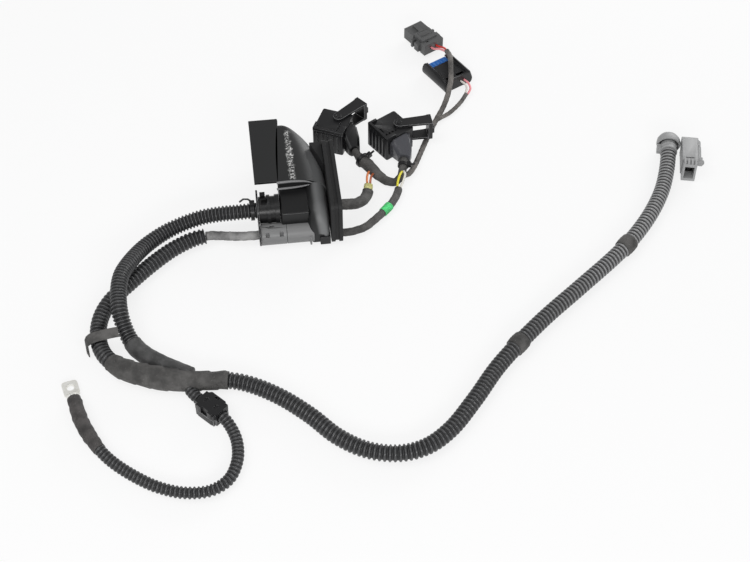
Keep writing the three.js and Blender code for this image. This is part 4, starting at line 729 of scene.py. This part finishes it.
def prism(name, outline, low, high, material, bevel):
    """A closed prism over an anticlockwise outline in X and Y, all in mm."""
    count = len(outline)
    points = [(x * MM, y * MM, z * MM) for z in (low, high) for x, y in outline]
    faces = [list(range(count))[::-1], list(range(count, 2 * count))]
    faces += [[k, (k + 1) % count, (k + 1) % count + count, k + count] for k in range(count)]
    mesh = bpy.data.meshes.new(name)
    mesh.from_pydata(points, [], faces)
    made = bpy.data.objects.new(name, mesh)
    bpy.context.collection.objects.link(made)
    return soften(made, material, bevel, segments=3)


def rectangle(x0, x1, y0, y1):
    return [(x0, y0), (x1, y0), (x1, y1), (x0, y1)]


HARD_PARTS = {
    "flange_seal": (RUBBER, 0.7, "rubber_seal", None),
    "adaptor_end_plate": (CLAMP_BLACK, 0.3, "black_moulding", EDGE_HIGHLIGHT),
    "adaptor_feed_clamp": (CLAMP_BLACK, 0.35, "black_moulding", None),
    "adaptor_branch_clamp": (CLAMP_GREY, 0.35, "grey_moulding", None),
    "adaptor_coupling": (CLAMP_GREY, 0.35, "grey_moulding", None),
    "adaptor_cable_tie": (BLACK_MOULDING, 0.15, "black_moulding", None),
    "tape_strap": (TAPE, 0.2, "cloth_tape", None),
    "clip_base": (BLACK_MOULDING, 0.45, "black_moulding", EDGE_HIGHLIGHT),
    "clip_lid": (BLACK_MOULDING, 0.45, "black_moulding", EDGE_HIGHLIGHT),
    "ring_terminal": (TIN, 0.3, "tin_plate", None),
    "end_boot": (PALE_MOULDING, 0.4, "grey_moulding", None),
    "end_backshell": (PALE_MOULDING, 0.6, "grey_moulding", None),
    "end_housing": (PALE_MOULDING, 0.4, "grey_moulding", None),
    "end_lock": (PALE_MOULDING, 0.4, "grey_moulding", None),
    "end_insert": (INSERT_BLACK_AND_SHADE, 0.1, "black_moulding", None),
    "left_lever_housing": (BLACK_MOULDING, 0.45, "black_moulding", EDGE_HIGHLIGHT),
    "left_contact_insert": (INSERT_BLACK_AND_SHADE, 0.1, "black_moulding", None),
    "left_wire_cover": (BLACK_MOULDING, 0.6, "grey_moulding", None),
    "left_locking_lever": (BLACK_MOULDING, 0.45, "black_moulding", EDGE_HIGHLIGHT),
    "right_lever_housing": (BLACK_MOULDING, 0.45, "black_moulding", EDGE_HIGHLIGHT),
    "right_contact_insert": (INSERT_BLACK_AND_SHADE, 0.1, "black_moulding", None),
    "right_wire_cover": (COVER_GREY, 0.6, "grey_moulding", None),
    "right_locking_lever": (BLACK_MOULDING, 0.45, "black_moulding", EDGE_HIGHLIGHT),
    "left_tie": (BLACK_MOULDING, 0.15, "black_moulding", None),
    "right_tie": (BLACK_MOULDING, 0.15, "black_moulding", None),
    "three_way_housing": (GREY_MOULDING, 0.4, "grey_moulding", None),
    "three_way_retainer": (GREY_MOULDING, 0.3, "grey_moulding", None),
    "socket_shell": (BLACK_MOULDING, 0.45, "black_moulding", EDGE_HIGHLIGHT),
    "socket_insert": (BLUE_MOULDING, 0.15, "blue_plastic", None),
}
MOVING = {"left_locking_lever": "left_lever", "right_locking_lever": "right_lever", "clip_lid": "clip_cover"}
for node, (material, bevel, slot, edge_material) in HARD_PARTS.items():
    piece = dressed(node, material, bevel, edge_material)
    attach(piece, MOVING.get(node, "harness"))
    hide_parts(node)

# %% [markdown]
# ## The hood
# The hood is the largest smooth surface, so facets would show in its highlight. It is worked out
# on a fine grid: a superellipse in plan, and a quarter ellipse over a straight side in section.
# Its tab, socket, lug and lips are prisms and tubes set against it.

# %% The hood, its duct and what is moulded on it
HOOD_LEFT, SEAL_FACE = -21.0, 34.2
HOOD_NEAR, HOOD_FAR = -25.0, 76.0
HOOD_FLOOR, HOOD_ROOF = 4.0, 52.0
DUCT_NEAR, DUCT_TOP, DUCT_LEFT = -79.0, 46.5, 8.0
SHOULDER = 0.6
ROUNDNESS = 2.25
SLANT = 7.0
SWELL = 2.4
DUCT_V_SHIFT = 0.45
FLAT_V, FOOT_V = -1.0, 1.5
CREASE = math.radians(50)


def arched(left, right, top, bottom, crest_share, y, quarter):
    """Section rows: up the left side, over a quarter or half ellipse and down the right side.

    V is -1 on the left side, 0 at the crest, 1 at the ellipse's right end and 1.5 at the foot.
    """
    crest = left + crest_share * (right - left)
    shoulder = bottom + SHOULDER * (top - bottom)
    angle = np.linspace(np.pi / 2 if quarter else np.pi, 0, 40)[None, :]
    reach = np.where(np.cos(angle) < 0, (crest - left)[:, None], (right - crest)[:, None])
    x = crest[:, None] + reach * np.cos(angle)
    z = shoulder[:, None] + (top - shoulder)[:, None] * np.sin(angle)
    turn = np.repeat(1 - angle / (np.pi / 2), len(y), axis=0)
    before_x, before_z = [left[:, None]], [bottom[:, None]]
    if quarter:
        before_x.append(left[:, None])
        before_z.append(top[:, None])
    x = np.hstack(before_x + [x, right[:, None]])
    z = np.hstack(before_z + [z, bottom[:, None]])
    flat = np.full((len(y), 1), FLAT_V)
    v = np.hstack([flat] * len(before_x) + [turn, np.full((len(y), 1), FOOT_V)])
    rows = np.repeat(y[:, None], x.shape[1], axis=1)
    return np.stack([x, rows, z], axis=-1) * MM, np.stack([rows * MM, v], axis=-1)


def hood_shell():
    """Plan: right = left + width (1 - t^2.25)^(1/2.25), t from 0 at the near end to 1."""
    y = HOOD_NEAR + (HOOD_FAR - HOOD_NEAR) * np.sin(np.linspace(0.004, 1, 64) * np.pi / 2)
    reach = (y - HOOD_NEAR) / (HOOD_FAR - HOOD_NEAR)
    share = (1 - (0.985 * reach) ** ROUNDNESS) ** (1 / ROUNDNESS)
    drop = 6 * (1 - np.minimum(1, (HOOD_FAR - y) / 10)) ** 2
    left = HOOD_LEFT + SLANT * reach ** 2
    right = np.minimum(SEAL_FACE, HOOD_LEFT + (SEAL_FACE - HOOD_LEFT) * share)
    right = np.maximum(right, left + 3)
    grid, uv = arched(left, right, HOOD_ROOF - drop, HOOD_FLOOR + drop, 0.35, y, True)
    made = mesh_from_grid("hood_shell", grid, HOOD_PLASTIC, uv=uv)
    made.data.set_sharp_from_angle(angle=CREASE)
    return made


def duct_shell():
    """The duct swells from its blunt near end, where the rows crowd: share = sqrt(1 - (1 - 2.4 t)^2)."""
    t = np.concatenate([np.linspace(0, 0.42, 26) ** 1.4 * 0.42 ** -0.4, np.linspace(0.45, 1, 12)])
    share = np.sqrt(1 - (1 - np.minimum(1, SWELL * t)) ** 2)
    y = DUCT_NEAR + (HOOD_NEAR + 6 - DUCT_NEAR) * t
    narrowing = 7 * (1 - share)
    top = HOOD_FLOOR + (DUCT_TOP - HOOD_FLOOR) * (0.3 + 0.7 * share)
    right = SEAL_FACE - 0.4 - 0.4 * narrowing
    grid, uv = arched(DUCT_LEFT + narrowing, right, top, np.full(len(y), HOOD_FLOOR), 0.42, y, False)
    # The shift places the painted shoulder highlight on the duct's rounded side.
    uv[..., 1] = uv[..., 1] + DUCT_V_SHIFT
    made = mesh_from_grid("duct_shell", grid, HOOD_PLASTIC, uv=uv)
    made.data.set_sharp_from_angle(angle=CREASE)
    return made


def brow(name, points, widest, material):
    """A lip that is fullest in its first half and fades out at its far end."""
    line = route(points)
    along = np.linspace(0, 1, len(line))
    return tube(name, line, widest * MM * np.sqrt(np.clip(1 - along ** 2.5, 0.01, 1)), material, 20)


TAB_OUTLINE = [(-47.5, -24), (-20, -24), (-13, 79), (-13.6, 82), (-47.5, 82)]
TAB_THICKNESS = 3.0
LUG_OUTLINE = [(33.6, -4), (34.2, -4), (34.2, 33), (20.5, 33), (20.5, 31.5)]

hood = hood_shell()
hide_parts("bulkhead_hood")
hood_pieces = [
    hood,
    duct_shell(),
    prism("hood_tab", TAB_OUTLINE, HOOD_ROOF - TAB_THICKNESS, HOOD_ROOF, HOOD_PLASTIC, 0.5),
    prism("hood_socket", rectangle(HOOD_LEFT, 12, -67, -22), HOOD_FLOOR, 41.5, CLAMP_BLACK, 2.5),
    prism("hood_lug", LUG_OUTLINE, 6, 55, RUBBER, 0.5),
    prism("hood_foot", rectangle(21.5, 33.4, -81, -67), 1, 13, BLACK_MOULDING, 0.8),
    # The slit prism is painted shade: a dark block in the gap between the lips.
    prism("hood_slit_painted_shade", rectangle(-19.5, 9.5, -26.6, -24.6), 43.5, 50, INSERT_BLACK_AND_SHADE, 0.2),
    # Both lips are paler, a painted highlight along their edges.
    brow("hood_upper_lip", [
        (-22.2, -25.8, 51), (-12, -25.8, 51.6), (-2, -25.8, 51.6), (8, -25.8, 50.6), (15, -25.8, 48.6),
        (20, -26, 46),
    ], 1.5, EDGE_HIGHLIGHT),
    brow("hood_lower_lip", [
        (-22.4, -27, 42.4), (-12, -27.2, 43), (-2, -27.2, 43.4), (6, -27, 44), (13, -26.6, 44.8),
        (19, -26, 45),
    ], 1.4, EDGE_HIGHLIGHT),
]
for piece in hood_pieces:
    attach(piece, "harness")
print("hood pieces:", len(hood_pieces), "shell faces:", len(hood.data.polygons))

# %% [markdown]
# ## Riding, replacing and declaring
# Each tube rides on the harness body and stands for its CAD node.

# %% Soft pieces and their nodes
SOFT = {
    "feed_conduit": (feed, "corrugated_conduit"), "return_conduit": (back_run, "corrugated_conduit"),
    "long_conduit": (long_run, "corrugated_conduit"), "terminal_conduit": (thin_run, "corrugated_conduit"),
    "tape_joint": (joint, "cloth_tape"), "split_sleeve": (sleeve, "cloth_tape"),
    "tape_collar_near": (collar_near, "cloth_tape"), "tape_collar_far": (collar_far, "cloth_tape"),
    "adaptor_taped_cable": (adaptor_cable, "cloth_tape"), "terminal_sleeve": (terminal_sleeve, "cloth_tape"),
    "branch_one_cable": (branch_one, "cloth_tape"), "branch_two_cable": (branch_two, "cloth_tape"),
    "link_bundle": (link, "cloth_tape"), "tall_branch_cable": (tall, "cloth_tape"),
    "short_branch_cable": (short, "cloth_tape"), "branch_one_band": (yellow_band, "yellow_wire"),
    "branch_two_band": (green_band, "green_tape"), "branch_one_wire_orange": (orange_wire, "orange_wire"),
    "branch_one_wire_brown": (brown_wire, "brown_wire"),
    "branch_two_wire_yellow": (yellow_wire, "yellow_wire"),
    "branch_two_wire_white": (white_wire, "white_wire"), "three_way_wire_red": (red_end, "red_wire"),
    "three_way_wire_pink": (pink_end, "pink_wire"), "socket_wire_white": (white_end, "white_wire"),
    "socket_wire_pink": (pink_socket, "pink_wire"),
}
for node, (piece, slot) in SOFT.items():
    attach(piece, "harness")
    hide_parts(node)


def declare(line):
    """Thins the centreline to about 400 to 800 points; the path is left unused."""
    path = line[:: max(1, len(line) // 400)]
    path = np.vstack([path, line[-1]]) if not np.allclose(path[-1], line[-1]) else path


declare(feed_line)
declare(adaptor_line)
declare(return_line)
declare(long_line)
declare(thin_line)
declare(branch_two_line)
declare(link_line)
declare(tall_line)
declare(short_line)

# %% [markdown]
# ## Floor and light
# The studio is a white sweep. A soft lamp above and a pale world give even light with almost no
# shadow. Two low lamps, in front and behind on the right, draw highlights on the dark plastic.


# %% Floor, lamps and world
def studio_floor():
    """Camera = 0.8 white + 0.2 lit paper, so the floor is white and keeps a soft shadow."""
    finish = Finish("studio_paper", (0.86, 0.86, 0.865), 0.95)
    path = finish.start.node("ShaderNodeLightPath")
    kinds = ("Camera", "Glossy", "Transmission")
    rays = [Value(finish.tree, path.outputs[f"Is {kind} Ray"]) for kind in kinds]
    seen = (rays[0] + rays[1] + rays[2]).clamped() * 0.8
    glow = finish.start.node("ShaderNodeEmission", Color=(1, 1, 1, 1), Strength=1.0)
    mixed = finish.start.node("ShaderNodeMixShader", i0=seen)
    finish.tree.links.new(finish.start.socket, mixed.inputs[1])
    finish.tree.links.new(glow.outputs[0], mixed.inputs[2])
    finish.tree.links.new(mixed.outputs[0], finish.tree.nodes["Material Output"].inputs["Surface"])
    reach, level = 6.0, -0.0016
    grid = np.array([[[x, y, level] for x in (-reach, reach)] for y in (-reach, reach)])
    floor = mesh_from_grid("studio_floor", grid, finish.material, closed_round=False, ends=False)
    return floor


def softbox(name, place, size, watts, aim=(0.05, -0.12, 0.0)):
    data = bpy.data.lights.new(name, "AREA")
    data.shape = "RECTANGLE"
    data.size, data.size_y = size
    data.energy = watts
    lamp = bpy.data.objects.new(name, data)
    lamp.location = place
    lamp.rotation_mode = "QUATERNION"
    lamp.rotation_quaternion = (Vector(place) - Vector(aim)).to_track_quat("Z", "Y")
    bpy.context.collection.objects.link(lamp)
    return lamp


studio_floor()
softbox("key_light", (-0.9, -0.5, 2.0), (1.6, 1.6), 18)
softbox("front_light", (0.25, -2.0, 0.95), (1.5, 0.45), 19)
softbox("back_right_light", (1.35, 1.35, 0.7), (1.3, 0.8), 16)
world = bpy.data.worlds.new("pale_room")
bpy.context.scene.world = world
world.use_nodes = True
sky = world.node_tree.nodes["Background"]
sky.inputs["Color"].default_value = (1, 1, 1, 1)
sky.inputs["Strength"].default_value = 0.42
bpy.context.scene.view_settings.view_transform = "Standard"
print("studio ready")
